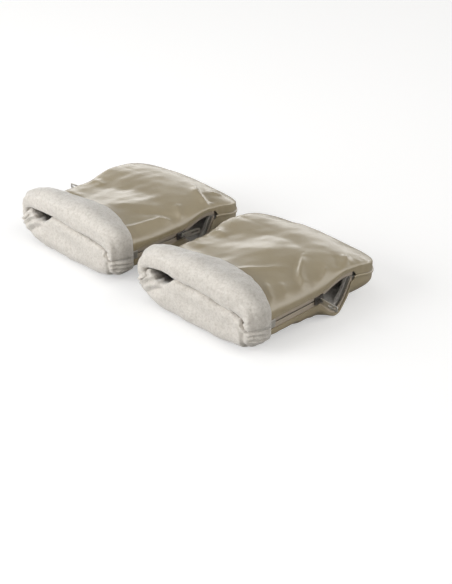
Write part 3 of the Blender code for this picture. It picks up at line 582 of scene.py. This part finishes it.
def shell_material(name, tones):
    """Coated cloth: clouded tone and gloss, soft dents, fine wrinkles and the weave under the coating."""
    mat, tree, shader, coords = new_material(name, tones[1], 0.40, Specular_IOR_Level=0.8, Coat_Weight=0.75,
                                             Coat_Roughness=0.27, Coat_IOR=1.75)
    clouds = noise(tree, coords, 28, 4, 0.55)
    gloss = span(tree, noise(tree, coords, 160, 3), 0.34, 0.50)
    tree.links.new(tone_ramp(tree, clouds, tones, 0.32, 0.68), shader.inputs["Base Color"])
    tree.links.new(gloss, shader.inputs["Roughness"])
    dents = noise(tree, coords, 30, 3, 0.5, 0.5)
    wrinkles = noise(tree, coords, 210, 4, 0.6, 0.6)
    threads = weave(tree, coords, 520)
    bump(tree, shader, (dents, 0.25, 0.0020), (wrinkles, 0.22, 0.0003), (threads, 0.12, 0.0001))
    return mat


def fleece_material(name, tones):
    """Fleece: clumps of pile with painted shade in their gaps, over soft unevenness and under single fibres.
    """
    mat, tree, shader, coords = new_material(name, tones[1], 0.95, Sheen_Weight=0.7, Sheen_Roughness=0.5,
                                             Specular_IOR_Level=0.1)
    clumps = noise(tree, coords, 330, 4, 0.65, 0.4)
    place = tree.nodes.new("ShaderNodeSeparateXYZ")
    tree.links.new(coords, place.inputs[0])
    # Painted shade: the fleece darkens behind the mouth line, over the band.
    band_shade = span(tree, place.outputs["Y"], 1.0, BAND_PAINTED_SHADE_SHARE, From_Min=BAND_SHADE_TURN[0], From_Max=BAND_SHADE_TURN[1])
    shaded = node(tree, "ShaderNodeVectorMath", operation="SCALE")
    # Painted shade: the darker cream goes where the clumps' bump is low, in the gaps.
    tree.links.new(tone_ramp(tree, clumps, tones, 0.30, 0.58), shaded.inputs[0])
    tree.links.new(band_shade, shaded.inputs["Scale"])
    tree.links.new(shaded.outputs[0], shader.inputs["Base Color"])
    soft = noise(tree, coords, 90, 3, 0.6)
    fibres = noise(tree, coords, 1300, 3, 0.7)
    bump(tree, shader, (soft, 0.40, 0.0014), (clumps, 0.75, 0.0014), (fibres, 0.6, 0.0005))
    return mat


def tape_material(name, tones):
    """A zip's woven tape."""
    mat, tree, shader, coords = new_material(name, tones[1], 0.72, Sheen_Weight=0.3)
    cloth = weave(tree, coords, 420)
    tree.links.new(tone_ramp(tree, cloth, tones, 0.2, 0.9), shader.inputs["Base Color"])
    bump(tree, shader, (cloth, 0.5, 0.0002), (noise(tree, coords, 120, 3), 0.3, 0.0005))
    return mat


def grained_material(name, tones, scale, depth):
    """Thread, nylon or fibre with one even grain, of this scale and depth."""
    mat, tree, shader, coords = new_material(name, tones[1], 0.8, Sheen_Weight=0.3)
    grain = noise(tree, coords, scale, 4, 0.65)
    tree.links.new(tone_ramp(tree, grain, tones, 0.3, 0.7), shader.inputs["Base Color"])
    bump(tree, shader, (grain, 0.6, depth))
    return mat


def metal_material(name, colour):
    """Plated metal with fine wear in its gloss."""
    mat, tree, shader, coords = new_material(name, colour, 0.25, Metallic=0.92)
    gloss = span(tree, noise(tree, coords, 600, 4, 0.6), 0.24, 0.42)
    tree.links.new(gloss, shader.inputs["Roughness"])
    bump(tree, shader, (noise(tree, coords, 900, 3), 0.15, 0.00005))
    return mat


SHELL_MAT = shell_material("greige_coated_cloth", GREIGE)
FLEECE_MAT = fleece_material("cream_fleece", CREAM)
TAPE_MAT = tape_material("zip_tape_weave", TAPE_TONES)
COIL_MAT = grained_material("zip_coil_nylon", COIL_TONES, 900, 0.00005)
THREAD_MAT = grained_material("seam_thread", THREAD_TONES, 2600, 0.0002)
BATTING_MAT = grained_material("wadding_fibre", WADDING_TONES, 420, 0.0012)
METAL_MAT = metal_material("bright_nickel", BRIGHT_NICKEL)
DARK_METAL_MAT = metal_material("gunmetal_nickel", GUNMETAL)


# Camera

# Where the photograph was taken from, seen from the middle of the near muff's mouth, and its size, its focal
# length and how far its centre is from that point, in its own pixels.
CAMERA_AZIMUTH = math.radians(47.3)
CAMERA_ELEVATION = math.radians(29.7)
CAMERA_DISTANCE = 1.2
PHOTO_PIXELS = (452, 584)
FOCAL_PIXELS = 1132
CENTRE_RIGHT_PIXELS = 31.7
CENTRE_UP_PIXELS = 9.3
RENDER_SCALE = 2
SENSOR_MM = 36
CLIP_START = 0.05


def set_camera():
    aim = Vector((SPACING / 2, MOUTH_Y, SEAM_HEIGHT))
    level = math.cos(CAMERA_ELEVATION)
    back = Vector((math.sin(CAMERA_AZIMUTH) * level, -math.cos(CAMERA_AZIMUTH) * level,
                   math.sin(CAMERA_ELEVATION)))
    right = Vector((math.cos(CAMERA_AZIMUTH), math.sin(CAMERA_AZIMUTH), 0))
    up = back.cross(right)
    look = -back + right * (CENTRE_RIGHT_PIXELS / FOCAL_PIXELS) + up * (CENTRE_UP_PIXELS / FOCAL_PIXELS)
    cam = bpy.data.cameras.new("camera")
    cam.sensor_width = SENSOR_MM
    cam.lens = FOCAL_PIXELS * SENSOR_MM / max(PHOTO_PIXELS)
    cam.clip_start = CLIP_START
    obj = add_object("camera", cam)
    obj.location = aim + back * CAMERA_DISTANCE
    obj.rotation_euler = look.to_track_quat("-Z", "Y").to_euler()
    scene = bpy.context.scene
    scene.camera = obj
    scene.render.resolution_x, scene.render.resolution_y = (RENDER_SCALE * size for size in PHOTO_PIXELS)
    scene.render.resolution_percentage = 100


# Shells and wadding

# Rows and columns, with the last rows closer together, how the folds fade at the belly and in depth, where
# the hems are stitched, and how far the wadding keeps from its neighbours.
SHELL_ROWS = 130
SHELL_COLS = even_columns(125, 6)
TIP_ROWS = 8
TIP_POWER = 1.6
BELLY_LIFT = (0.0010, 0.0040)
INNER_LIFT_SHARE = 0.9
FRONT_REACH = 0.0001
HEM_STITCH = 0.0018
HEM_START = BAND_SIDE + 0.004
HEM_END = TAPE_END - 0.001
HEM_COLUMNS = 8
WADDING_ROWS = 70
WADDING_COLS = even_columns(61, 3)
WADDING_START = 0.034
WADDING_SHORT = 0.0062
WADDING_OUTER = (0.0030, 0.0026)
WADDING_OFF_LINING = 0.0006
WADDING_EDGE = 0.0025


def build_shell(name, centre, side):
    """A coated panel with its folds, and the stitches along its two zips."""
    word, body = half_names(name, side)
    us = np.linspace(0.0, BAG_LENGTH, SHELL_ROWS)
    start = us[-TIP_ROWS - 1]
    closer = (1 - np.linspace(0, 1, TIP_ROWS + 1)[1:]) ** TIP_POWER
    us[-TIP_ROWS:] = BAG_LENGTH - (BAG_LENGTH - start) * closer
    outer = bag_grid(us, SHELL_COLS, side, SLUMP[name])
    inner = bag_grid(us, SHELL_COLS, side, SLUMP[name], SHELL, SHELL)
    lift = shell_relief(outer[:, :, 0], outer[:, :, 1] - MOUTH_Y, side, name)
    if side == DOWN:
        lift = lift * smooth(*BELLY_LIFT, outer[:, :, 2])
    moved = normals(outer, side) * lift[:, :, None]
    outer = outer + moved
    inner = inner + moved * INNER_LIFT_SHARE
    outer[:, :, 2] = np.maximum(outer[:, :, 2], SHELL_ABOVE_FLOOR)
    closed = [np.concatenate([grid, front_edge(grid, side)]) for grid in (outer, inner)]
    obj = solid_from_grids(f"{name}_{word}_skin", *closed, centre)
    finish_piece(obj, SHELL_MAT, body, "coated_shell", f"{name}_{word}_shell")
    build_stitches(f"{name}_{word}_hem_stitches", hem_paths(us, outer + [centre, 0, 0]), body)


def front_edge(grid, side):
    """A last row at the seam, which closes a shell's front edge."""
    row = grid[-1:].copy()
    row[:, :, 1] += FRONT_REACH
    row[:, :, 2] = seam_height(BAG_LENGTH) + side * SEAM_HALF_GAP
    return row


def hem_paths(us, outer):
    """The two stitch lines of a shell's hems, each as (points, outward directions)."""
    rows = (us > HEM_START) & (us < HEM_END)
    paths = []
    for sign, columns in ((-1, outer[rows, :HEM_COLUMNS]), (1, outer[rows, :-HEM_COLUMNS - 1:-1])):
        points = [point_at(HEM_STITCH, run_along(column), column) for column in columns]
        paths.append((np.array(points), np.tile([sign, 0.0, 0.0], (len(points), 1))))
    return paths


def build_batting(name, centre, side):
    """The wadding, whose outer face follows the shell's folds."""
    word, body = half_names(name, side)
    us = np.linspace(WADDING_START, BAG_LENGTH - WADDING_SHORT, WADDING_ROWS)
    place = us, WADDING_COLS, side, SLUMP[name]
    outer = bag_grid(*place, *WADDING_OUTER, edge_gap=WADDING_EDGE)
    lift = shell_relief(outer[:, :, 0], outer[:, :, 1] - MOUTH_Y, side, name)
    outer += normals(outer, side) * lift[:, :, None]
    inner = bag_grid(*place, LINING_SIDE - WADDING_OFF_LINING, LINING_CROWN - WADDING_OFF_LINING,
                     edge_gap=WADDING_EDGE)
    obj = solid_from_grids(f"{name}_{word}_batting", outer, inner, centre)
    finish_piece(obj, BATTING_MAT, body, "wadding", f"{name}_{word}_wadding")


# The fleece lining and its turned-back cuff

# The slit between the cuff's rolls, as places across against heights over the seam, and its sag at the left.
LIP_TABLE = ((-1.0, -0.90, -0.62, -0.25, 0.0, 0.5, 0.8, 0.95, 1.0),
             (0.0135, 0.0160, 0.0186, 0.0181, 0.0169, 0.0143, 0.0128, 0.0108, 0.0095))
SLIT_GAP = 0.0013
MOUTH_DIP = 0.0130
DIP_PLACE = -0.66
DIP_SPREAD = 0.27
DIP_POWER = 1.3
LOWER_SLIT_INSET = 0.0008
THROAT_SHARE = {UP: -0.06, DOWN: 0.0}
THROAT_DROP = 0.0045

# The rows of the lining along the hand's space, of the rolls, and of the band over the shell.
FLEECE_COLS = even_columns(141, 6)
DEEP_US = (0.2058, 0.2045, 0.200, 0.194, 0.186, 0.176, 0.165, 0.15, 0.142, 0.133, 0.124, 0.114, 0.105,
           0.098, 0.085, 0.074, 0.060, 0.045, 0.034)
ROLL_RISES = {UP: (0.1, 0.4, 0.74), DOWN: (0.06, 0.4, 0.78)}
ROLL_WIDTHS = {UP: (0.15, 0.5, 0.85), DOWN: (0.0, 0.5, 0.85)}
ROLL_REARS = (0.75, 1.0, 0.80)
ROLL_BACKS = (0.25, 0.5, 0.75)
BAND_SHARES = (0.0, 0.12, 0.3, 0.55, 0.8, 0.95, 1.0)
BAND_LOFTS = (0.72, 0.92, 1.0, 0.85, 0.62, 0.42, 0.27)
BAND_OFF_SHELL = 0.0006
BACK_REACH = 0.0012
DEEP_STEPS = 2
CUFF_STEPS = (9, 7, 6, 7, 7, 6, 5, 7, 9, 9, 6, 4)
LEAST_STEP = 1e-7
BAND_END_ROWS = 30
BAND_END_RADIUS = 0.0045
BAND_END_THICK_SHARE = 0.02

# The cuff's unevenness as height and size, and its creases: height, width or pitch, place across, and the
# stretches along, across and up over which each fades in.
ROLL_WAVE = (0.0006, 0.040)
TUFT_WAVE = (0.00022, 0.013)
LOOSE_DEPTH = 0.004
FLEECE_SEEDS = {"right": {UP: 41, DOWN: 44}, "left": {UP: 57, DOWN: 60}}
CREASE_ALONG = (0.012, 0.002)
END_GROOVE = (0.0020, 0.0019)
END_GROOVE_ACROSS = (0.076, 0.081)
UPPER_GATHER = (0.0007, 0.0052)
UPPER_GATHER_PLACE = (0.078, 0.010)
UPPER_GATHER_UP = (0.020, 0.004)
END_CREASE = (0.0034, 0.0028)
END_CREASE_PLACE = 0.0765
END_CREASE_UP = (-0.031, -0.022)
SIDE_FOLD = (0.0010, 0.0050)
SIDE_FOLD_SLANT = 0.04
SIDE_FOLD_ACROSS = (0.080, 0.086)
SIDE_FOLD_UP = (-0.022, -0.010)


def mouth_dip(across):
    """How far the lower roll sags below the upper one at the mouth's left end."""
    off = (across - DIP_PLACE) / DIP_SPREAD
    return MOUTH_DIP * np.maximum(0, 1 - off * off) ** DIP_POWER


def lining_row(u, side, slump, side_inset, crown_inset, along=None):
    """A row of the lining at u, or as seen at u but put at another place along the bag."""
    row = bag_grid([u], FLEECE_COLS, side, slump, side_inset, crown_inset, SEAM_HALF_GAP)[0]
    if along is not None:
        row[:, 1] = MOUTH_Y + along
    return row


def cuff_row(u, half, share, side, drop=0.0):
    """A row of the cuff: share 0 lies along the slit between the rolls, and share 1 at the outside."""
    across, cosine, wall = FLEECE_COLS
    full = UPPER_CROWN + UPPER_LOFT if side == UP else LOWER_DEPTH
    outside = side * (SHOULDER_RISE + (full - SHOULDER_RISE) * dome_share(cosine, max(u, 0.0), side))
    slit = curve(LIP_TABLE, across)
    if side == DOWN:
        slit = slit - SLIT_GAP - mouth_dip(across) * (1 - share) - drop
    top = slit + (outside - slit) * share
    foot = side * SEAM_HALF_GAP
    rise = np.where(wall < 1, foot + (top - foot) * wall, top)
    return np.stack([half * across, np.full_like(across, MOUTH_Y + u), SEAM_HEIGHT + rise], axis=1)


def band_row(share, loft, side, slump):
    """A row of the band over the shell, from 0 at the mouth to 1 at its edge, with this share of the loft."""
    across = FLEECE_COLS[0]
    us = share * (BAND_SIDE + (BAND_CROWN - BAND_SIDE) * (1 - across * across))
    side_loft = loft * SIDE_LOFT + BAND_OFF_SHELL
    crown_loft = loft * (UPPER_LOFT if side == UP else LOWER_LOFT) + BAND_OFF_SHELL
    grid = bag_grid(us, FLEECE_COLS, side, slump, -side_loft, -crown_loft, SEAM_HALF_GAP)
    row = grid[np.arange(len(across)), np.arange(len(across))].copy()
    row[:, 1] = MOUTH_Y + us
    row[:, 2] = np.maximum(row[:, 2], FLEECE_ABOVE_FLOOR)
    return row


def hand_rows(side, slump):
    """The fleece's pile side: out of the hand's space, round the roll and back over the shell."""
    insets = LINING_SIDE + LINING_THICK, LINING_CROWN + LINING_THICK
    rows = [lining_row(u, side, slump, *insets) for u in DEEP_US]
    roll_half = HALF_WIDTH - MOUTH_TAPER + SIDE_LOFT
    slit_half = MOUTH_HALF if side == UP else MOUTH_HALF - LOWER_SLIT_INSET
    rows.append(cuff_row(MOUTH_DEPTH, slit_half, THROAT_SHARE[side], side, THROAT_DROP))
    rows.append(cuff_row(0.0, slit_half, 0.0, side))
    for rise, width, rear in zip(ROLL_RISES[side], ROLL_WIDTHS[side], ROLL_REARS):
        half = slit_half + (roll_half - slit_half) * width
        rows.append(cuff_row(-CUFF_REAR * rear, half, rise, side))
    return rows + [band_row(share, loft, side, slump) for share, loft in zip(BAND_SHARES, BAND_LOFTS)]


def back_rows(side, slump):
    """The fleece's back, with a row behind each of the pile side's."""
    insets = LINING_SIDE, LINING_CROWN + CLEARANCE
    rows = [lining_row(u, side, slump, *insets) for u in DEEP_US]
    for along in (MOUTH_DEPTH, -BACK_REACH / 2):
        rows.append(lining_row(max(along, 0.0), side, slump, *insets, along))
    for share in ROLL_BACKS:
        turned = (inset * (1 - share) - CLEARANCE * share for inset in (LINING_SIDE, LINING_CROWN))
        rows.append(lining_row(0.0, side, slump, *turned, -BACK_REACH))
    band = [band_row(share, 0.0, side, slump) for share in BAND_SHARES]
    band[0][:, 1] = MOUTH_Y - BACK_REACH / 2
    return rows + band


def spline_rows(rows, steps):
    """Rows between the given ones along a smooth curve through them."""
    rows = np.array(rows)
    padded = np.concatenate([[2 * rows[0] - rows[1]], rows, [2 * rows[-1] - rows[-2]]])
    out = []
    for k in range(1, len(padded) - 2):
        p0, p1, p2, p3 = padded[k - 1:k + 3]
        g0, g1, g2 = (np.sqrt(np.maximum(np.linalg.norm(end - start, axis=1, keepdims=True), LEAST_STEP))
                      for start, end in ((p0, p1), (p1, p2), (p2, p3)))
        m1 = (p2 - p1) + g1 * ((p1 - p0) / g0 - (p2 - p0) / (g0 + g1))
        m2 = (p2 - p1) + g1 * ((p3 - p2) / g2 - (p3 - p1) / (g1 + g2))
        for t in np.arange(steps[k - 1]) / steps[k - 1]:
            out.append((2 * t ** 3 - 3 * t * t + 1) * p1 + (t ** 3 - 2 * t * t + t) * m1
                       + (-2 * t ** 3 + 3 * t * t) * p2 + (t ** 3 - t * t) * m2)
    out.append(rows[-1])
    return np.array(out)


def round_off_band(hand, back):
    """The band's end, which curves down to the shell over its last rows."""
    near = np.arange(len(hand))[:, None] > len(hand) - BAND_END_ROWS
    away = np.minimum(np.linalg.norm(hand - hand[-1], axis=2) / BAND_END_RADIUS, 1)
    thick = np.maximum(np.sqrt(np.clip(1 - (1 - away) ** 2, 0, 1)), BAND_END_THICK_SHARE)
    return back + (hand - back) * np.where(near, thick, 1.0)[:, :, None]


def cuff_creases(x, u, height, side):
    """The folds that the cuff's rolls make where they turn round the mouth's two ends."""
    rear = smooth(*CREASE_ALONG, u)
    groove = -END_GROOVE[0] * np.exp(-(height / END_GROOVE[1]) ** 2) * smooth(*END_GROOVE_ACROSS, np.abs(x))
    if side == UP:
        place, spread = UPPER_GATHER_PLACE
        gather = np.exp(-((np.abs(x) - place) / spread) ** 2) * smooth(*UPPER_GATHER_UP, height)
        return UPPER_GATHER[0] * gather * np.sin(2 * np.pi * height / UPPER_GATHER[1]) * rear + groove
    crease = np.exp(-((x - END_CREASE_PLACE) / END_CREASE[1]) ** 2) * smooth(*END_CREASE_UP, height)
    side_folds = SIDE_FOLD[0] * smooth(*SIDE_FOLD_ACROSS, np.abs(x)) * smooth(*SIDE_FOLD_UP, height)
    side_folds = side_folds * np.sin(2 * np.pi * (height + SIDE_FOLD_SLANT * u) / SIDE_FOLD[1])
    gathers = sum(fold(x, height, *one) for one in CUFF_FOLDS)
    return (gathers - END_CREASE[0] * crease) * rear + side_folds + groove


def build_fleece(name, centre, side):
    """The lining, which turns out over the mouth as the cuff's roll and its band."""
    word, body = half_names(name, side)
    steps = [DEEP_STEPS] * (len(DEEP_US) - 1) + list(CUFF_STEPS)
    hand = spline_rows(hand_rows(side, SLUMP[name]), steps)
    back = spline_rows(back_rows(side, SLUMP[name]), steps)
    hand = round_off_band(hand, back)
    x, y, z = np.moveaxis(hand, 2, 0)
    seed = FLEECE_SEEDS[name][side]
    lift = ROLL_WAVE[0] * waves(x, y + z, seed, ROLL_WAVE[1])
    lift += TUFT_WAVE[0] * waves(x, y + z, seed + 1, TUFT_WAVE[1])
    lift += cuff_creases(x, y - MOUTH_Y, z - SEAM_HEIGHT, side)
    loose = smooth(0.0, LOOSE_DEPTH, np.linalg.norm(hand - back, axis=2))
    hand = hand + normals(hand, side) * (lift * loose)[:, :, None]
    hand[:, :, 2] = np.maximum(hand[:, :, 2], FLEECE_ABOVE_FLOOR)
    obj = solid_from_grids(f"{name}_{word}_fleece", hand, back, centre)
    finish_piece(obj, FLEECE_MAT, body, "fleece", f"{name}_{word}_lining")


# Zips and stitches

# The tape's rows and heights, the coil's turns with the half width and half height of their loop, the
# stitches with their rise over the cloth, and the width of the metal pieces' rounded edges.
TAPE_ROWS = 100
TAPE_EDGE = 0.0004
TAPE_EDGE_SUNK = 0.0003
TAPE_HEIGHTS = (0.0, TAPE_EDGE, 0.0025, 0.005, TAPE_TALL - TAPE_EDGE, TAPE_TALL)
COIL_PITCH = 0.0013
COIL_POINTS = 9
COIL_THREAD = 0.00023
COIL_LOOP = (COIL_THICK / 2 - COIL_THREAD, COIL_TALL / 2 - 0.00025)
THREAD_RING = 5
TUBE_END_SHARE = 0.55
STITCH_LENGTH = 0.0026
STITCH_GAP = 0.0009
STITCH_RADIUS = 0.00020
STITCH_ARCH = (-0.00012, 0.00010, 0.00014, 0.00010, -0.00012)
METAL_EDGES = {"slider": 0.00025, "puller": 0.0002, "box": 0.0002, "pin": 0.0002, "upper_stop": 0.0003,
               "lower_stop": 0.0003}
WELD = 1e-6
FLAT_ANGLE = math.radians(2)
BEVEL_ANGLE = math.radians(30)


def chain_height(u, side, off_edge=0.0):
    """The height of the tape's inner edge, or of a place this far from it."""
    return seam_height(u) + side * (bar_gap(u, side) + CHAIN_GAP + off_edge)


def build_tape(muff, zip_name, centre, sign, side):
    """One side of the zip's tape, with its edge along the parting line drawn in a little."""
    word, body = half_names(muff, side)
    us = np.linspace(TAPE_START, TAPE_END, TAPE_ROWS)
    outer = np.zeros((TAPE_ROWS, len(TAPE_HEIGHTS), 3))
    outer[:, :, 0] = centre + sign * TAPE_OUT
    outer[:, :, 1] = MOUTH_Y + us[:, None]
    outer[:, :, 2] = np.stack([chain_height(us, side, off_edge) for off_edge in TAPE_HEIGHTS], axis=1)
    inner = outer.copy()
    inner[:, :, 0] = centre + sign * TAPE_IN
    outer[:, 0, 0] -= sign * TAPE_EDGE_SUNK
    inner[:, 0, 0] += sign * TAPE_EDGE_SUNK / 2
    obj = solid_from_grids(f"{zip_name}_{word}_webbing", outer, inner)
    finish_piece(obj, TAPE_MAT, body, "zip_tape", f"{zip_name}_{word}_tape")


def tube_mesh(paths, radius):
    """Points and faces of round threads along the given paths, each an array of points."""
    points, faces = [], []
    turns = 2 * math.pi * np.arange(THREAD_RING)[:, None] / THREAD_RING
    for path in paths:
        ahead = unit(np.gradient(path, axis=0))
        # Any direction that the thread doesn't start along gives its section a side to begin from.
        across = unit(np.cross(ahead, [1, 0, 0] if abs(ahead[0][0]) < 0.8 else [0, 0, 1]))
        up = np.cross(ahead, across)
        size = np.full(len(path), radius)
        size[0] = size[-1] = radius * TUBE_END_SHARE
        faces += ring_faces(len(path), THREAD_RING, len(points))
        for k, middle in enumerate(path):
            points.extend(middle + size[k] * (across[k] * np.cos(turns) + up[k] * np.sin(turns)))
    return points, faces


def build_coil(muff, zip_name, centre, sign, side):
    """The nylon coil: one thread wound along the tape's edge."""
    word, body = half_names(muff, side)
    length = COIL_END - COIL_START[side]
    step = np.arange(int(length / COIL_PITCH) * COIL_POINTS + 1)
    u = COIL_START[side] + length * step / step[-1]
    angle = 2 * math.pi * step / COIL_POINTS
    x = (COIL_IN + COIL_OUT) / 2 + COIL_LOOP[0] * np.cos(angle)
    off_edge = COIL_TALL / 2 + COIL_LOOP[1] * np.sin(angle)
    path = np.stack([centre + sign * x, MOUTH_Y + u, chain_height(u, side, off_edge)], axis=1)
    obj = add_mesh(f"{zip_name}_{word}_chain", *tube_mesh([path], COIL_THREAD))
    finish_piece(obj, COIL_MAT, body, "zip_coil", f"{zip_name}_{word}_coil")


def build_stitches(label, lines, body):
    """Stitches along lines of (points, outward directions), which dip into the cloth at their ends."""
    paths = []
    arch = np.array(STITCH_ARCH)[:, None]
    for path, out in lines:
        run = run_along(path)
        for start in np.arange(0.0, run[-1] - STITCH_LENGTH, STITCH_LENGTH + STITCH_GAP):
            at = np.linspace(start, start + STITCH_LENGTH, len(arch))
            paths.append(point_at(at, run, path) + point_at(at, run, out) * arch)
    obj = add_mesh(label, *tube_mesh(paths, STITCH_RADIUS))
    finish_piece(obj, THREAD_MAT, body, "coated_shell")


def bevelled(node_name, new_name, width):
    """A copy of a hard CAD node with its edges rounded, which stands for it."""
    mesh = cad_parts[node_name].data.copy()
    bm = bmesh.new()
    bm.from_mesh(mesh)
    bmesh.ops.remove_doubles(bm, verts=bm.verts, dist=WELD)
    bmesh.ops.dissolve_limit(bm, angle_limit=FLAT_ANGLE, verts=bm.verts, edges=bm.edges)
    bm.to_mesh(mesh)
    bm.free()
    obj = add_object(new_name, mesh)
    bevel = obj.modifiers.new("bevel", "BEVEL")
    bevel.width = width
    bevel.segments = 2
    bevel.limit_method = "ANGLE"
    bevel.angle_limit = BEVEL_ANGLE
    mesh.shade_smooth()
    mesh.set_sharp_from_angle(angle=METAL_SHARP_ANGLE)
    return obj


def build_hardware(muff, zip_name):
    """The zip's metal pieces, each on the half or the moving body that carries it."""
    bodies = {"slider": f"{zip_name}_slider", "puller": f"{zip_name}_puller", "pin": f"{muff}_flap",
              "upper_stop": f"{muff}_flap", "box": f"{muff}_base", "lower_stop": f"{muff}_base"}
    for part, width in METAL_EDGES.items():
        obj = bevelled(f"{zip_name}_{part}", f"{zip_name}_{part}_metal", width)
        metal = DARK_METAL_MAT if part == "slider" else METAL_MAT
        finish_piece(obj, metal, bodies[part], "zip_metal", f"{zip_name}_{part}")


# Front binding

LIP_ROWS = 60
LIP_START = TAPE_END + 0.0014
LIP_SECOND = TAPE_END + 0.004
# What a forward-facing edge counts for in telling outwards, against its place across.
LIP_FORWARD = 0.05
LIP_BELOW_SEAM = 0.0003
# The lip's section, as (reach past the shell, depth) points from its top inner corner round to its foot.
LIP_SECTION = ((0.0003, 0.0), (0.0010, 0.0), (LIP_REACH, 0.0006), (LIP_REACH, 0.0022), (0.0011, 0.0030),
               (0.0003, 0.0030))


def build_binding(name, centre):
    """The lip under the front seam, from one zip's end round the front to the other's."""
    us = np.concatenate([[LIP_START], np.linspace(LIP_SECOND, BAG_LENGTH, LIP_ROWS)])
    x = plan_half(us)
    path = np.concatenate([np.stack([x, us], 1), np.stack([-x[::-1], us[::-1]], 1)])
    tangent = unit(np.gradient(path, axis=0))
    out = np.stack([tangent[:, 1], -tangent[:, 0]], axis=1)
    out *= np.sign(out[:, 0] * path[:, 0] + out[:, 1] * LIP_FORWARD)[:, None]
    top = seam_height(path[:, 1]) - LIP_BELOW_SEAM
    points = []
    for (px, py), (ox, oy), z in zip(path, out, top):
        for reach, down in LIP_SECTION:
            points.append((centre + px + ox * reach, MOUTH_Y + py + oy * reach, z - down))
    obj = add_mesh(f"{name}_front_lip", points, ring_faces(len(path), len(LIP_SECTION)))
    finish_piece(obj, SHELL_MAT, f"{name}_base", "front_binding", f"{name}_front_binding")


# All pieces

for name, centre in SIDES.items():
    for side in (UP, DOWN):
        build_shell(name, centre, side)
        build_batting(name, centre, side)
        build_fleece(name, centre, side)
    build_binding(name, centre)
    outwards = 1 if name == "right" else -1
    for place, sign in (("outer", outwards), ("inner", -outwards)):
        zip_name = f"{name}_{place}_zip"
        for side in (UP, DOWN):
            build_tape(name, zip_name, centre, sign, side)
            build_coil(name, zip_name, centre, sign, side)
        build_hardware(name, zip_name)


# Floor, world and lights

FLOOR_HALF = 6.0
FLOOR_DROP = 0.0002
FLOOR_SEEN = (0.74, 0.74, 0.74, 1)
FLOOR_BOUNCED = (0.30, 0.29, 0.27, 1)
FLOOR_GLOW = 0.40
WORLD_COLOUR = (1.0, 0.99, 0.97, 1)
WORLD_LEVEL = 0.28
WORLD_SEEN = 1.0
HORIZON_LEVEL = 2.15
RIGHT_LEVEL = 1.40
# Parts of the world: a direction, and the cosines to it at which the part begins and is full.
LOW_BAND = ((0, 0, -1), -0.36, -0.10)
BEHIND = ((-0.73, 0.68, 0), -0.1, 0.5)
RIGHT_PATCH = ((0.85, 0.30, 0.42), 0.62, 0.96)
LIGHT_AIM = Vector((0, 0, 0.03))
# Each light: its name, its place, its size across and its power.
LIGHTS = (("above", (-0.5, -0.3, 2.0), 1.6, 4), ("front", (-1.00, -2.25, 0.78), 2.1, 63))


def seen_or(tree, seen, otherwise):
    """One value or colour for what the camera sees directly, and another for light that bounces."""
    path = tree.nodes.new("ShaderNodeLightPath")
    data_type, first, result = ("RGBA", 6, 2) if isinstance(seen, tuple) else ("FLOAT", 2, 0)
    made = node(tree, "ShaderNodeMix", data_type=data_type)
    tree.links.new(path.outputs["Is Camera Ray"], made.inputs[0])
    made.inputs[first + 1].default_value = seen
    if isinstance(otherwise, (tuple, float)):
        made.inputs[first].default_value = otherwise
    else:
        tree.links.new(otherwise, made.inputs[first])
    return made.outputs[result]


def build_floor():
    """A white floor, which bounces less light than the camera sees on it."""
    mesh = bpy.data.meshes.new("floor")
    corners = ((-1, -1), (1, -1), (1, 1), (-1, 1))
    mesh.from_pydata([(x * FLOOR_HALF, y * FLOOR_HALF, 0) for x, y in corners], [], [(0, 1, 2, 3)])
    floor = add_object("floor", mesh)
    floor.location.z = -FLOOR_DROP
    mat, tree, shader, _ = new_material("white_floor", FLOOR_SEEN[:3], 0.9, Specular_IOR_Level=0.0,
                                        Emission_Color=(1, 1, 1, 1))
    tree.links.new(seen_or(tree, FLOOR_SEEN, FLOOR_BOUNCED), shader.inputs["Base Color"])
    tree.links.new(seen_or(tree, FLOOR_GLOW, 0.0), shader.inputs["Emission Strength"])
    mesh.materials.append(mat)


def facing(tree, direction, low, high):
    """0 to 1 as the way looked turns towards a direction."""
    coords = tree.nodes.new("ShaderNodeTexCoord")
    dot = node(tree, "ShaderNodeVectorMath", operation="DOT_PRODUCT")
    dot.inputs[1].default_value = Vector(direction).normalized()
    tree.links.new(coords.outputs["Generated"], dot.inputs[0])
    return span(tree, dot.outputs["Value"], 0.0, 1.0, interpolation_type="SMOOTHSTEP", From_Min=low,
                From_Max=high)


def set_world():
    """White to the camera; to the surfaces a bright horizon behind, and a bright patch at the right."""
    world = bpy.data.worlds.new("world")
    bpy.context.scene.world = world
    world.use_nodes = True
    tree = world.node_tree
    back = tree.nodes["Background"]
    back.inputs["Color"].default_value = WORLD_COLOUR
    horizon = math_node(tree, "MULTIPLY", facing(tree, *LOW_BAND), facing(tree, *BEHIND))
    right = math_node(tree, "MULTIPLY", facing(tree, *RIGHT_PATCH), RIGHT_LEVEL)
    level = math_node(tree, "ADD", math_node(tree, "MULTIPLY", horizon, HORIZON_LEVEL), WORLD_LEVEL)
    level = math_node(tree, "ADD", right, level)
    tree.links.new(seen_or(tree, WORLD_SEEN, level), back.inputs["Strength"])


def set_lights():
    for label, place, size, power in LIGHTS:
        light = bpy.data.lights.new(label, "AREA")
        light.shape = "DISK"
        light.size = size
        light.energy = power
        obj = add_object(label, light)
        obj.location = place
        obj.rotation_euler = (Vector(place) - LIGHT_AIM).to_track_quat("Z", "Y").to_euler()
    bpy.context.scene.view_settings.view_transform = "Standard"


set_camera()
build_floor()
set_world()
set_lights()
